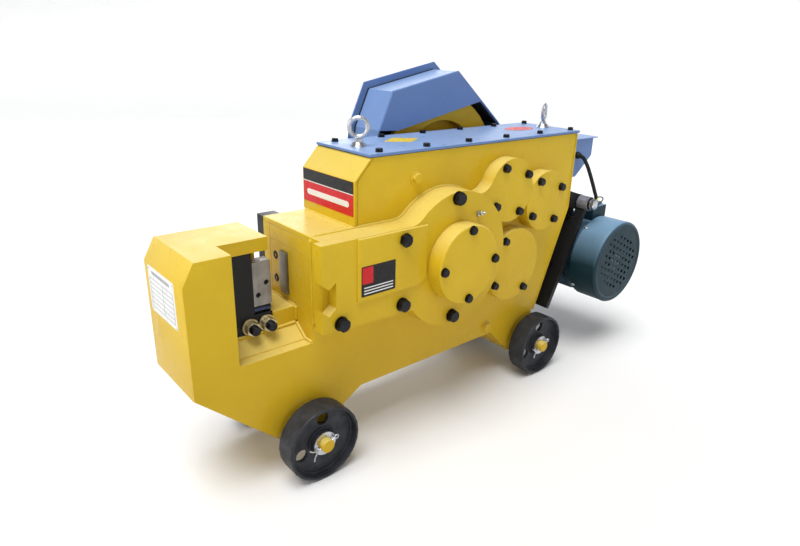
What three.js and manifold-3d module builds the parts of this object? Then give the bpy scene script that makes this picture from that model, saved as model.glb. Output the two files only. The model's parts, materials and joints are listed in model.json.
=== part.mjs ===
// Rebar cutter: a wheeled, motor-driven bar shear. The motor turns a flywheel through
// V-belts, three gear pairs slow it down, and a crank pushes a ram whose blade shears
// the bar against a fixed blade in the open throat.
//
// Millimetres, +Z up, +X along the machine from the cutting head to the motor, +Y from
// the side with the crank cover to the side with the belts. All places below are in the
// machine's working axes: x from the head's end face, y from the front side plate's
// outer face, z from the ground. The finished group is centred on its own footprint.

import * as THREE from 'three';
import { mergeVertices } from 'three/addons/utils/BufferGeometryUtils.js';
import Module from 'manifold-3d';

const wasm = await Module();
wasm.setup();

// ---------------------------------------------------------------- driving dimensions

const GAP = 0.3;                    // between neighbouring pieces that touch
const RUN = 0.3;                    // radial clearance of a running fit

const BODY_DEPTH = 180;             // outer face to outer face of the side plates
const SIDE_PLATE = 25;              // side plate thickness
const SKIN = 10;                    // bent cross plates between and over the side plates
const BODY_TOP = 634;               // top edge of the side plates
const COVER_SHEET = 6;              // blue top cover
const COVER_OVERHANG = 4;
const NOSE_X = 346;                 // upright face of the gearbox nose
const NOSE_TOP_X = 386;             // where the sloped nose meets the top cover
const NOSE_BEND_Z = 591;
const LEDGE_Z = 500;                // top of the ram housing
const END_X = 1066;                 // upright end beside the motor
const END_BEND_Z = 436;
const END_FOOT_X = 960;
const BELLY_Z = 140;                // underside of the gearbox
const FOOT_Z = 50;                  // lowest edge of the feet
const FRONT_FOOT_X = [205, 262];
const REAR_FOOT_X = [885, 955];
const BELLY_X = [366, 785];         // straight run of the underside
const FOOT_BEND = [290, 94];        // bend behind the front foot
const REAR_FOOT_BEND = [862, 69];
const END_FOOT_Z = 160;             // where the end's foot turns upright
const HEAD_BOTTOM_Z = 240;
const HEAD_TOP_Z = 496;
const HEAD_WALL = 89;               // x where the head's front wall ends
const HEAD_REACH = 190;             // x where the head's roof ends over the fixed blade
const HEAD_CHAMFER = [22, 40];
const THROAT_FLOOR_Z = 280;
const THROAT_FLOOR_SHEET = 15;
const HOUSING_X = 246;              // left face of the ram housing
const BAR_REST_Z = 340;             // top of the rest that carries the bar behind the blades

const CRANK = new THREE.Vector2(580, 402);
const THROW = 25;                   // crank throw, so the ram travels twice this
const STROKE = 2 * THROW;
const ROD_LENGTH = 200;

// Gear pairs from the crank back to the flywheel: module, teeth, face width, first y.
const CRANK_PAIR = { module: 8, pinion: 18, wheel: 42, y: [112, 152], heading: -16.34 };
const MIDDLE_PAIR = { module: 6, pinion: 17, wheel: 43, y: [63, 91], heading: 54.54 };
const INPUT_PAIR = { module: 5, pinion: 17, wheel: 41, y: [30, 55], heading: 162.2 };
const PRESSURE_ANGLE = THREE.MathUtils.degToRad(20);
const BACKLASH = 0.45;

const FLYWHEEL_R = 195;
const FLYWHEEL_Y = [207, 273];
const PULLEY_R = 62;
const GROOVE_DEPTH = 15.5;
const GROOVE_WIDTH = 18;
const GROOVE_PITCH = 20;
const BELT_WIDTH = 17;
const BELT_HEIGHT = 11;
const BELT_LIFT = 4.2;              // belt above the groove bottom, so the motor can swing
const BELTS = 2;

const MOTOR = new THREE.Vector2(1223, 266);
const MOTOR_Y = [-84, 186];
const MOTOR_R = 106;
const FAN_COVER_R = 119;
const PIVOT = new THREE.Vector2(1165, 430);
const SWING_LEAN = 25.5;            // degrees that the motor plate leans from upright
const SWING_LENGTH = 318;
const SWING_SHEET = 14;

const WHEEL_R = 81.7;
const WHEEL_WIDTH = 48.5;
const WHEEL_GAP = 14;
const AXLE_R = 14.5;
const FRONT_AXLE_X = 232;
const REAR_AXLE_X = 930;

// ---------------------------------------------------------------- shape helpers

const inside = [SIDE_PLATE + GAP, BODY_DEPTH - SIDE_PLATE - GAP];   // y between side plates

function polygon(points) {
  return new THREE.Shape(points.map(([x, z]) => new THREE.Vector2(x, z)));
}

function disc(x, z, r) {
  const shape = new THREE.Shape();
  shape.absarc(x, z, r, 0, 2 * Math.PI, false);
  return shape;
}

// A round hole whose straight chords still clear the radius.
const CHORD_RELIEF = 1 / Math.cos(Math.PI / 20);
function bore(x, z, r) {
  return disc(x, z, r * CHORD_RELIEF);
}

// An outline in x and z, extruded from y0 to y1.
function prism(shape, y0, y1, segments = 8) {
  const geometry = new THREE.ExtrudeGeometry(shape, {
    depth: y1 - y0, bevelEnabled: false, curveSegments: segments, steps: 1,
  });
  return geometry.rotateX(Math.PI / 2).translate(0, y1, 0);
}

// An outline in y and z, extruded from x0 to x1.
const alongX = new THREE.Matrix4().makeBasis(
  new THREE.Vector3(0, 1, 0), new THREE.Vector3(0, 0, 1), new THREE.Vector3(1, 0, 0),
);
function prismX(points, x0, x1) {
  const geometry = new THREE.ExtrudeGeometry(polygon(points), {
    depth: x1 - x0, bevelEnabled: false, steps: 1,
  });
  return geometry.applyMatrix4(alongX).translate(x0, 0, 0);
}

function box(x0, x1, y0, y1, z0, z1) {
  return new THREE.BoxGeometry(x1 - x0, y1 - y0, z1 - z0)
    .translate((x0 + x1) / 2, (y0 + y1) / 2, (z0 + z1) / 2);
}

// A cylinder along Y.
function round(x, z, r, y0, y1, segments = 24) {
  return new THREE.CylinderGeometry(r, r, y1 - y0, segments).translate(x, (y0 + y1) / 2, z);
}

// A cylinder along X.
function roundX(y, z, r, x0, x1, segments = 16) {
  return new THREE.CylinderGeometry(r, r, x1 - x0, segments)
    .rotateZ(Math.PI / 2).translate((x0 + x1) / 2, y, z);
}

// A turned piece about an axis along Y; the profile holds [radius, y] pairs.
function turned(x, z, profile, segments = 24) {
  const points = profile.map(([r, y]) => new THREE.Vector2(r, y));
  return new THREE.LatheGeometry(points, segments).translate(x, 0, z);
}

// A turned ring: its profile closes on itself, away from the axis.
function ring(x, z, profile, segments = 24) {
  return turned(x, z, [...profile, profile[0]], segments);
}

function solid(geometry) {
  const bare = geometry.clone();
  bare.deleteAttribute('normal');
  bare.deleteAttribute('uv');
  const merged = mergeVertices(bare, 1e-4);
  const result = new wasm.Manifold(new wasm.Mesh({
    numProp: 3,
    vertProperties: Float32Array.from(merged.attributes.position.array),
    triVerts: Uint32Array.from(merged.index.array),
  }));
  return result.volume() < 0 ? solid(flipped(merged)) : result;
}

function flipped(geometry) {
  const copy = geometry.clone();
  const index = copy.index.array;
  for (let i = 0; i < index.length; i += 3) {
    [index[i], index[i + 1]] = [index[i + 1], index[i]];
  }
  return copy;
}

function geometryOf(manifold) {
  const mesh = manifold.getMesh();
  const geometry = new THREE.BufferGeometry();
  geometry.setAttribute('position', new THREE.BufferAttribute(Float32Array.from(mesh.vertProperties), 3));
  geometry.setIndex(new THREE.BufferAttribute(Uint32Array.from(mesh.triVerts), 1));
  geometry.computeVertexNormals();
  return geometry;
}

// The first geometry with the others joined on.
function joined(first, ...others) {
  return geometryOf(others.reduce((sum, g) => sum.add(solid(g)), solid(first)));
}

// The first geometry with the others cut away.
function cut(first, ...others) {
  return geometryOf(others.reduce((rest, g) => rest.subtract(solid(g)), solid(first)));
}

// The polygon moved inwards by d, for the inner face of a sheet-metal wall.
function inset(points, d) {
  const area = points.reduce((sum, [x, z], i) => {
    const [nx, nz] = points[(i + 1) % points.length];
    return sum + x * nz - nx * z;
  }, 0);
  const side = Math.sign(area);
  const edges = points.map(([x, z], i) => {
    const [nx, nz] = points[(i + 1) % points.length];
    const length = Math.hypot(nx - x, nz - z);
    const along = [(nx - x) / length, (nz - z) / length];
    return { along, start: [x - side * along[1] * d, z + side * along[0] * d] };
  });
  return edges.map((edge, i) => {
    const before = edges[(i + edges.length - 1) % edges.length];
    const turn = before.along[0] * edge.along[1] - before.along[1] * edge.along[0];
    const gap = [edge.start[0] - before.start[0], edge.start[1] - before.start[1]];
    const t = (gap[0] * edge.along[1] - gap[1] * edge.along[0]) / turn;
    return [before.start[0] + t * before.along[0], before.start[1] + t * before.along[1]];
  });
}

// ---------------------------------------------------------------- materials

const PAINT = { yellow: 0xf0c020, blue: 0x7d9cc8, teal: 0x2f6f7a, black: 0x202224 };

function finish(color, roughness, metalness) {
  return () => new THREE.MeshStandardMaterial({ color, roughness, metalness });
}

const yellowPaint = finish(PAINT.yellow, 0.38, 0.0);
const bluePaint = finish(PAINT.blue, 0.4, 0.0);
const tealPaint = finish(PAINT.teal, 0.4, 0.0);
const blackPaint = finish(PAINT.black, 0.5, 0.0);
const castIron = finish(0x2a2b2d, 0.7, 0.4);
const machinedSteel = finish(0x9a9ca0, 0.35, 0.9);
const zincPlate = finish(0xc9ccd0, 0.3, 0.9);
const gearSteel = finish(0x77797d, 0.4, 0.9);
const bronze = finish(0xb08040, 0.4, 0.8);
const beltRubber = finish(0x1a1a1a, 0.85, 0.0);
const cableSheath = finish(0x141414, 0.6, 0.0);
const redPlastic = finish(0xc01818, 0.4, 0.0);
const greenPlastic = finish(0x1f8a3a, 0.4, 0.0);

const machine = new THREE.Group();

function piece(name, geometry, material) {
  const mesh = new THREE.Mesh(geometryOf(solid(geometry)), material());
  mesh.name = name;
  machine.add(mesh);
  return mesh;
}

// ---------------------------------------------------------------- gear train places

function centreDistance(pair) {
  return pair.module * (pair.pinion + pair.wheel) / 2;
}

function stepFrom(centre, pair) {
  const angle = THREE.MathUtils.degToRad(pair.heading);
  const d = centreDistance(pair);
  return new THREE.Vector2(centre.x + d * Math.cos(angle), centre.y + d * Math.sin(angle));
}

const THIRD = stepFrom(CRANK, CRANK_PAIR);          // shaft next to the crank
const SECOND = stepFrom(THIRD, MIDDLE_PAIR);
const INPUT = stepFrom(SECOND, INPUT_PAIR);         // shaft that carries the flywheel

const SHAFT_R = 22;
const CRANK_JOURNAL_R = 42;
const CRANK_PIN_R = 45;

// Involute tooth flanks through three points each; phase is the angle of one tooth.
function gearOutline(centre, module, teeth, phase, boreR) {
  const pitch = module * teeth / 2;
  const base = pitch * Math.cos(PRESSURE_ANGLE);
  const involute = (r) => {
    const angle = Math.acos(Math.min(1, base / r));
    return Math.tan(angle) - angle;
  };
  const halfAtPitch = Math.PI / (2 * teeth) - BACKLASH / (4 * pitch);
  const half = (r) => halfAtPitch + involute(pitch) - involute(Math.max(r, base));
  const radii = [pitch - 1.25 * module, pitch, pitch + 0.95 * module];
  const points = [];
  for (let tooth = 0; tooth < teeth; tooth += 1) {
    const middle = phase + 2 * Math.PI * tooth / teeth;
    const flank = radii.map((r) => [r, half(r)]);
    const sides = [...flank.map(([r, a]) => [r, -a]), ...flank.reverse().map(([r, a]) => [r, a])];
    sides.forEach(([r, a]) => points.push([
      centre.x + r * Math.cos(middle + a), centre.y + r * Math.sin(middle + a),
    ]));
  }
  const shape = polygon(points);
  if (boreR) shape.holes.push(bore(centre.x, centre.y, boreR));
  return shape;
}

// The pinion has a tooth on the line of centres and the wheel a space there.
function pinionOutline(pair, centre, boreR) {
  const towards = THREE.MathUtils.degToRad(pair.heading) + Math.PI;
  return gearOutline(centre, pair.module, pair.pinion, towards, boreR);
}

function wheelOutline(pair, centre, boreR) {
  const phase = THREE.MathUtils.degToRad(pair.heading) + Math.PI / pair.wheel;
  return gearOutline(centre, pair.module, pair.wheel, phase, boreR);
}

// ---------------------------------------------------------------- welded body

const sidePoints = [
  [0, HEAD_BOTTOM_Z], [FRONT_FOOT_X[0], FOOT_Z], [FRONT_FOOT_X[1], FOOT_Z], FOOT_BEND,
  [BELLY_X[0], BELLY_Z], [BELLY_X[1], BELLY_Z], REAR_FOOT_BEND, [REAR_FOOT_X[0], FOOT_Z],
  [REAR_FOOT_X[1] + SKIN, FOOT_Z], [END_FOOT_X - SKIN - GAP, END_FOOT_Z],
  [END_X - SKIN - GAP, END_BEND_Z], [END_X - SKIN - GAP, BODY_TOP],
  [NOSE_TOP_X + SKIN, BODY_TOP], [NOSE_X + SKIN + GAP, NOSE_BEND_Z],
  [NOSE_X + SKIN + GAP, LEDGE_Z - SKIN - GAP], [HOUSING_X, LEDGE_Z - SKIN - GAP],
];

function headOutline(reach, sillZ) {
  return [
    [HOUSING_X, sillZ], [reach, sillZ], [reach, HEAD_TOP_Z], [HEAD_CHAMFER[0], HEAD_TOP_Z],
    [0, HEAD_TOP_Z - HEAD_CHAMFER[1]],
  ];
}

function sidePlate(y0, headReach, sillZ, bores) {
  const shape = polygon([...sidePoints, ...headOutline(headReach, sillZ)]);
  bores.forEach(([x, z, r]) => shape.holes.push(bore(x, z, r)));
  return prism(shape, y0, y0 + SIDE_PLATE, 12);
}

const axleBores = [[FRONT_AXLE_X, WHEEL_R, AXLE_R + GAP], [REAR_AXLE_X, WHEEL_R, AXLE_R + GAP]];
const shaftBores = [SECOND, THIRD, INPUT].map((p) => [p.x, p.y, SHAFT_R + RUN]);
const CRANK_BORE = CRANK_JOURNAL_R + 10;
const crankBore = [CRANK.x, CRANK.y, CRANK_BORE];

const plateBores = [...axleBores, ...shaftBores, crankBore];
piece('frame_side_front', sidePlate(0, HEAD_WALL, THROAT_FLOOR_Z, plateBores), yellowPaint);
piece('frame_side_rear', sidePlate(BODY_DEPTH - SIDE_PLATE, HEAD_REACH, BAR_REST_Z, plateBores),
  yellowPaint);

// Solid head between the side plates, with a roof and a back wall round the blade seat.
const SEAT_Y = [60, 118];
const ROOF_Z = 470;
const headSlope = (HEAD_BOTTOM_Z - FOOT_Z) / FRONT_FOOT_X[0];
piece('head_block', joined(
  prism(polygon([
    [0, HEAD_BOTTOM_Z], [HEAD_WALL, HEAD_BOTTOM_Z - headSlope * HEAD_WALL], [HEAD_WALL, HEAD_TOP_Z],
    [HEAD_CHAMFER[0], HEAD_TOP_Z], [0, HEAD_TOP_Z - HEAD_CHAMFER[1]],
  ]), inside[0], inside[1]),
  box(HEAD_WALL - 1, HEAD_REACH, SEAT_Y[0], inside[1], ROOF_Z, HEAD_TOP_Z),
  box(HEAD_WALL - 1, HEAD_REACH, SEAT_Y[1], inside[1], THROAT_FLOOR_Z + GAP, ROOF_Z + 1),
), yellowPaint);

// Throat floor: a plate, a ramp up to the blade seat, and the rest that carries the bar.
const SEAT_END_X = 193;
const RAMP_TOP = [SEAT_Y[0] - GAP, 304];
piece('throat_floor', joined(
  box(HEAD_WALL + GAP, HOUSING_X - GAP, ...inside, THROAT_FLOOR_Z - THROAT_FLOOR_SHEET, THROAT_FLOOR_Z),
  prismX([
    [inside[0], THROAT_FLOOR_Z - 1], [RAMP_TOP[0], THROAT_FLOOR_Z - 1], RAMP_TOP,
    [inside[0], THROAT_FLOOR_Z + 0.5],
  ], HEAD_WALL + GAP, HOUSING_X - GAP),
  box(SEAT_END_X + GAP, HOUSING_X - GAP, SEAT_Y[0] + GAP, inside[1], THROAT_FLOOR_Z - 1, BAR_REST_Z),
), yellowPaint);

// Bent sheet along the underside, from the head down to the front foot and to the rear foot.
const bellyOuter = [
  [HEAD_WALL + GAP, HEAD_BOTTOM_Z - headSlope * (HEAD_WALL + GAP)],
  [FRONT_FOOT_X[0], FOOT_Z], [FRONT_FOOT_X[1], FOOT_Z], FOOT_BEND,
  [BELLY_X[0], BELLY_Z], [BELLY_X[1], BELLY_Z], REAR_FOOT_BEND,
  [REAR_FOOT_X[0], FOOT_Z], [REAR_FOOT_X[1], FOOT_Z],
];
const bellyInner = [
  [REAR_FOOT_X[1], FOOT_Z + SKIN], [REAR_FOOT_X[0] + 4, FOOT_Z + SKIN],
  [BELLY_X[1] + 5, BELLY_Z + SKIN + 3], [BELLY_X[0] - 3, BELLY_Z + SKIN + 3],
  [FOOT_BEND[0] - 8, FOOT_BEND[1] + 8], [FRONT_FOOT_X[1] - 6, FOOT_Z + SKIN],
  [FRONT_FOOT_X[0] + 4, FOOT_Z + SKIN],
  [HEAD_WALL + GAP, HEAD_BOTTOM_Z - headSlope * HEAD_WALL + 14],
];
piece('belly_plate', prism(polygon([...bellyOuter, ...bellyInner]), ...inside), yellowPaint);

// Bent sheet over the ram housing and up the gearbox nose, as wide as the whole body.
piece('nose_plate', prism(polygon([
  [HOUSING_X, LEDGE_Z - SKIN], [HOUSING_X, LEDGE_Z], [NOSE_X, LEDGE_Z], [NOSE_X, NOSE_BEND_Z],
  [NOSE_TOP_X, BODY_TOP], [NOSE_TOP_X + SKIN - GAP, BODY_TOP], [NOSE_X + SKIN, NOSE_BEND_Z - 0.2],
  [NOSE_X + SKIN, LEDGE_Z - SKIN],
]), 0, BODY_DEPTH), yellowPaint);

piece('end_plate', prism(polygon([
  [END_X, BODY_TOP], [END_X, END_BEND_Z], [END_FOOT_X, END_FOOT_Z], [END_FOOT_X - SKIN, END_FOOT_Z],
  [END_X - SKIN, END_BEND_Z], [END_X - SKIN, BODY_TOP],
]), 0, BODY_DEPTH), yellowPaint);

// ---------------------------------------------------------------- ram and its guides

const RAM_Z = [345, 460];
const RAM_Y = [inside[0] + RUN, inside[1] - RUN];
const GUIDE_END_X = 396;            // ends short of the crank gear's teeth

piece('ram_guide_upper', box(HOUSING_X, GUIDE_END_X, ...inside, RAM_Z[1] + RUN, LEDGE_Z - SKIN - GAP),
  yellowPaint);
piece('ram_guide_lower', box(HOUSING_X, GUIDE_END_X, ...inside, 285, RAM_Z[0] - RUN), yellowPaint);

const ROD_Y = [63, 91];
const PIN_R = 18;
const WRIST_X = CRANK.x + THROW - ROD_LENGTH;
const RAM_END_X = WRIST_X + 45;
const RAM_REAR_ARM_Y = 108;         // the fork's rear arm runs in front of the crank gear
const MOVING_BLADE = { x: [240, 264], y: [85.3, 110], z: [355, 445] };
const FORK_X = 352;

piece('ram', cut(
  box(HOUSING_X, RAM_END_X, ...RAM_Y, ...RAM_Z),
  box(FORK_X, RAM_END_X + 5, ROD_Y[0] - 2, ROD_Y[1] + 2, RAM_Z[0] - 5, RAM_Z[1] + 5),
  box(GUIDE_END_X, RAM_END_X + 5, RAM_REAR_ARM_Y, RAM_Y[1] + 5, RAM_Z[0] - 5, RAM_Z[1] + 5),
  round(WRIST_X, CRANK.y, PIN_R + GAP, RAM_Y[0] - 5, RAM_Y[1] + 5, 20),
  box(HOUSING_X - 5, MOVING_BLADE.x[1] + GAP, MOVING_BLADE.y[0] - GAP, MOVING_BLADE.y[1] + GAP,
    MOVING_BLADE.z[0] - GAP, MOVING_BLADE.z[1] + GAP),
), yellowPaint);

piece('wrist_pin', round(WRIST_X, CRANK.y, PIN_R, RAM_Y[0] + 4, RAM_REAR_ARM_Y - 2, 20), machinedSteel);

// The small end's hole is a slot, tall enough for the crank pin's rise and fall.
const ROD = { eyeHalf: PIN_R + 6.5, wall: 11, corner: 14, neckHalf: 30, bigR: 68, bigJoin: [60, 32] };

function rodOutline() {
  const middle = CRANK.y - THROW / 2;
  const reach = THROW / 2 + PIN_R + 0.5;
  const small = { low: middle - reach, high: middle + reach };
  const left = WRIST_X - ROD.eyeHalf - ROD.wall;
  const neck = WRIST_X + ROD.eyeHalf + ROD.wall + 6;
  const joinAngle = Math.atan2(ROD.bigJoin[1], ROD.bigJoin[0]);
  const shape = new THREE.Shape();
  shape.moveTo(left, small.low - ROD.wall + ROD.corner);
  shape.lineTo(left + ROD.corner, small.low - ROD.wall);
  shape.lineTo(WRIST_X + ROD.eyeHalf + 4, small.low - ROD.wall);
  shape.lineTo(neck, CRANK.y - ROD.neckHalf);
  shape.lineTo(CRANK.x + THROW - ROD.bigJoin[0], CRANK.y - ROD.bigJoin[1]);
  shape.absarc(CRANK.x + THROW, CRANK.y, ROD.bigR, Math.PI + joinAngle, Math.PI - joinAngle, false);
  shape.lineTo(neck, CRANK.y + ROD.neckHalf);
  shape.lineTo(left + ROD.corner, small.high + ROD.wall);
  shape.lineTo(left, small.high + ROD.wall - ROD.corner);
  shape.holes.push(bore(CRANK.x + THROW, CRANK.y, CRANK_PIN_R + RUN));
  shape.holes.push(new THREE.Path([
    [WRIST_X - ROD.eyeHalf, small.low], [WRIST_X + ROD.eyeHalf, small.low],
    [WRIST_X + ROD.eyeHalf, small.high], [WRIST_X - ROD.eyeHalf, small.high],
  ].map(([x, z]) => new THREE.Vector2(x, z))));
  return shape;
}

piece('connecting_rod', prism(rodOutline(), ...ROD_Y, 14), castIron);

piece('moving_blade', box(...MOVING_BLADE.x, ...MOVING_BLADE.y, ...MOVING_BLADE.z), machinedSteel);

// ---------------------------------------------------------------- fixed blade

const FIXED_BLADE = { x: [155, 193], y: [60, 84.7], z: [360, 450] };
const SEAT_X = [HEAD_WALL + GAP, SEAT_END_X];
const SEAT_FOOT_Z = 343;
const STUD_Z = 323;
const STUD_R = 9;
const STUDS_X = [143, 178];
const BLADE_HOLES = [[165, 383], [183, 406]];
const BLADE_HOLE_R = 5;

piece('fixed_blade', cut(
  box(...FIXED_BLADE.x, ...FIXED_BLADE.y, ...FIXED_BLADE.z),
  ...BLADE_HOLES.map(([x, z]) => round(x, z, BLADE_HOLE_R, FIXED_BLADE.y[0] - 10, SEAT_Y[1], 12)),
), machinedSteel);

piece('fixed_blade_seat', cut(
  prism(polygon([
    [SEAT_X[0], THROAT_FLOOR_Z + GAP], [SEAT_X[1], THROAT_FLOOR_Z + GAP], [SEAT_X[1], SEAT_FOOT_Z],
    [FIXED_BLADE.x[0] - GAP, SEAT_FOOT_Z], [FIXED_BLADE.x[0] - GAP, ROOF_Z - GAP],
    [SEAT_X[0], ROOF_Z - GAP],
  ]), SEAT_Y[0], SEAT_Y[1] - GAP),
  ...STUDS_X.map((x) => round(x, STUD_Z, STUD_R + GAP, SEAT_Y[0] - 10, SEAT_Y[1] + 10, 16)),
), blackPaint);

// Stud with its washer and nut; the thread end stands proud of the nut.
const NUT_R = 15;
const NUT_Y = [42, SEAT_Y[0] - 3];
const WASHER_R = 17;
function stud(x) {
  return joined(
    round(x, STUD_Z, STUD_R, NUT_Y[0] - 10, SEAT_Y[1] - 4, 16),
    round(x, STUD_Z, NUT_R, ...NUT_Y, 6),
    round(x, STUD_Z, WASHER_R, NUT_Y[1] - 1, SEAT_Y[0] - GAP, 20),
  );
}
STUDS_X.forEach((x, i) => piece(`blade_stud_${i + 1}`, stud(x), zincPlate));

const SCREW_R = (FIXED_BLADE.z[0] - SEAT_FOOT_Z) / 2 - GAP;
piece('blade_adjusting_screw', roundX(FIXED_BLADE.y[0] + 10, SEAT_FOOT_Z + GAP + SCREW_R, SCREW_R,
  FIXED_BLADE.x[0] + GAP, FIXED_BLADE.x[1] - 1, 20), machinedSteel);

// Guide block behind the throat, bolted to the rear side plate, that steadies the bar.
const GUIDE = {
  x: HOUSING_X + 2, y: [BODY_DEPTH + GAP, BODY_DEPTH + 30], headWidth: 40, shankWidth: 22,
  footZ: 330, stepZ: 421, topZ: 498,
};
piece('bar_guide', joined(
  box(GUIDE.x, GUIDE.x + GUIDE.headWidth, ...GUIDE.y, GUIDE.stepZ - 1, GUIDE.topZ),
  box(GUIDE.x, GUIDE.x + GUIDE.shankWidth, ...GUIDE.y, GUIDE.footZ, GUIDE.stepZ),
), blackPaint);

// ---------------------------------------------------------------- covers and caps

const COVER_Y = [-60, -35];
const CRANK_SIDE_R = 152;
const ARM_BOTTOM_Z = 316;
const BLEND_R = 46;                 // concave blend where the arm's top meets the round end

// Crank and ram cover: a round end about the crank, a flat arm over the ram.
function crankSideOutline(x0, notch) {
  const rise = LEDGE_Z + BLEND_R - CRANK.y;
  const upper = Math.asin(rise / (CRANK_SIDE_R + BLEND_R));
  const lower = Math.asin((CRANK.y - ARM_BOTTOM_Z) / CRANK_SIDE_R);
  const blendX = CRANK.x - (CRANK_SIDE_R + BLEND_R) * Math.cos(upper);
  const shape = new THREE.Shape();
  shape.moveTo(x0 + 10, ARM_BOTTOM_Z);
  shape.absarc(CRANK.x, CRANK.y, CRANK_SIDE_R, Math.PI + lower, 3 * Math.PI - upper, false);
  shape.absarc(blendX, LEDGE_Z + BLEND_R, BLEND_R, -upper, -Math.PI / 2, true);
  shape.lineTo(x0, LEDGE_Z);
  if (notch) {
    notch.forEach(([x, z]) => shape.lineTo(x, z));
  }
  shape.lineTo(x0, ARM_BOTTOM_Z + 10);
  return shape;
}

const bossOutline = crankSideOutline(HOUSING_X, null);
bossOutline.holes.push(bore(CRANK.x, CRANK.y, CRANK_BORE));
piece('crank_boss', prism(bossOutline, COVER_Y[1] + GAP, -GAP, 22), yellowPaint);

// The cover plate overhangs the arm's end and is notched there, past the blades.
const NOTCH = 16;
const coverOutline = crankSideOutline(HOUSING_X - NOTCH, [
  [HOUSING_X - NOTCH, 426], [HOUSING_X, 412], [HOUSING_X + NOTCH, 424], [HOUSING_X + NOTCH, 372],
  [HOUSING_X, 358], [HOUSING_X - NOTCH, 372],
]);
coverOutline.holes.push(bore(CRANK.x, CRANK.y, CRANK_BORE));
piece('crank_cover_plate', prism(coverOutline, ...COVER_Y, 22), yellowPaint);

const END_CAP = { r: 88, chamfer: 3, faceY: COVER_Y[0] - 40, hollowR: 60, hollowY: COVER_Y[0] - 14 };
piece('crank_end_cap', turned(CRANK.x, CRANK.y, [
  [0, END_CAP.faceY], [END_CAP.r - END_CAP.chamfer, END_CAP.faceY],
  [END_CAP.r, END_CAP.faceY + END_CAP.chamfer], [END_CAP.r, COVER_Y[0] - GAP],
  [END_CAP.hollowR, COVER_Y[0] - GAP], [END_CAP.hollowR, END_CAP.hollowY], [0, END_CAP.hollowY],
], 40), yellowPaint);

// Shaft caps on the front plate; the two upper ones are cut flat where they meet.
const CAP_FACE_Y = -35;
const SHAFT_POCKET_Y = -16;         // depth of the pocket inside a cap for the shaft's end
const SHAFT_FRONT_Y = -14;
const SHAFT_REAR_Y = BODY_DEPTH - 2;

function shaftCap(centre, r, flatTowards) {
  const shape = new THREE.Shape();
  if (flatTowards) {
    const to = new THREE.Vector2().subVectors(flatTowards, centre);
    const half = to.length() / 2 - 0.4;
    const angle = Math.atan2(to.y, to.x);
    const open = Math.acos(Math.min(1, half / r));
    shape.absarc(centre.x, centre.y, r, angle + open, angle + 2 * Math.PI - open, false);
  } else {
    shape.absarc(centre.x, centre.y, r, 0, 2 * Math.PI, false);
  }
  return cut(prism(shape, CAP_FACE_Y, -GAP, 18),
    round(centre.x, centre.y, SHAFT_R + 6, SHAFT_POCKET_Y, 5, 20));
}

const CAP_R = 75;
const THIRD_CAP_R = 92;
const CRANK_COVER_CLEAR = CRANK_SIDE_R + 0.6;
const CAP_CUTTER_Y = [-70, 10];     // past both faces of a cap

// Web that blends the input cap into the crank boss, hollowed on its upper left side.
const WEB_BLEND_R = 44;

function inputWeb() {
  const across = new THREE.Vector2().subVectors(INPUT, CRANK);
  const fromCrank = CRANK_SIDE_R + WEB_BLEND_R;
  const fromInput = CAP_R + WEB_BLEND_R;
  const d = across.length();
  const run = (fromCrank ** 2 - fromInput ** 2 + d ** 2) / (2 * d);
  const rise = Math.sqrt(fromCrank ** 2 - run ** 2);
  const unit = across.clone().normalize();
  const hollow = [CRANK.x + unit.x * run - unit.y * rise, CRANK.y + unit.y * run + unit.x * rise];
  return cut(
    prism(polygon([[CRANK.x, CRANK.y], [INPUT.x, INPUT.y], hollow]), CAP_FACE_Y, -GAP),
    round(...hollow, WEB_BLEND_R, ...CAP_CUTTER_Y, 48),
    round(INPUT.x, INPUT.y, CAP_R / 2, ...CAP_CUTTER_Y, 24),
  );
}

piece('input_bearing_cap', cut(
  joined(shaftCap(INPUT, CAP_R, SECOND), inputWeb()),
  round(CRANK.x, CRANK.y, CRANK_COVER_CLEAR, ...CAP_CUTTER_Y, 72),
), yellowPaint);
piece('second_bearing_cap', shaftCap(SECOND, CAP_R, INPUT), yellowPaint);
piece('third_bearing_cap', cut(
  shaftCap(THIRD, THIRD_CAP_R, null),
  round(CRANK.x, CRANK.y, CRANK_COVER_CLEAR, ...CAP_CUTTER_Y, 72),
  ...[INPUT, SECOND].map((p) => round(p.x, p.y, CAP_R + 2, ...CAP_CUTTER_Y, 48)),
), yellowPaint);

const REAR_CAP = { r: 80, hollowR: 50, hollowY: BODY_DEPTH + 4, faceY: BODY_DEPTH + 11 };
piece('crank_rear_cap', turned(CRANK.x, CRANK.y, [
  [0, REAR_CAP.hollowY], [REAR_CAP.hollowR, REAR_CAP.hollowY], [REAR_CAP.hollowR, BODY_DEPTH + GAP],
  [REAR_CAP.r, BODY_DEPTH + GAP], [REAR_CAP.r, REAR_CAP.faceY], [0, REAR_CAP.faceY],
], 28), yellowPaint);

// ---------------------------------------------------------------- top cover

const coverX = [NOSE_TOP_X - COVER_OVERHANG, END_X + COVER_OVERHANG];
piece('top_cover', prism(polygon([
  [coverX[0], BODY_TOP + GAP], [coverX[1], BODY_TOP + GAP],
  [coverX[1], BODY_TOP + COVER_SHEET], [coverX[0], BODY_TOP + COVER_SHEET],
]), -COVER_OVERHANG, BODY_DEPTH + COVER_OVERHANG), bluePaint);

const COVER_TOP = BODY_TOP + COVER_SHEET;

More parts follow.
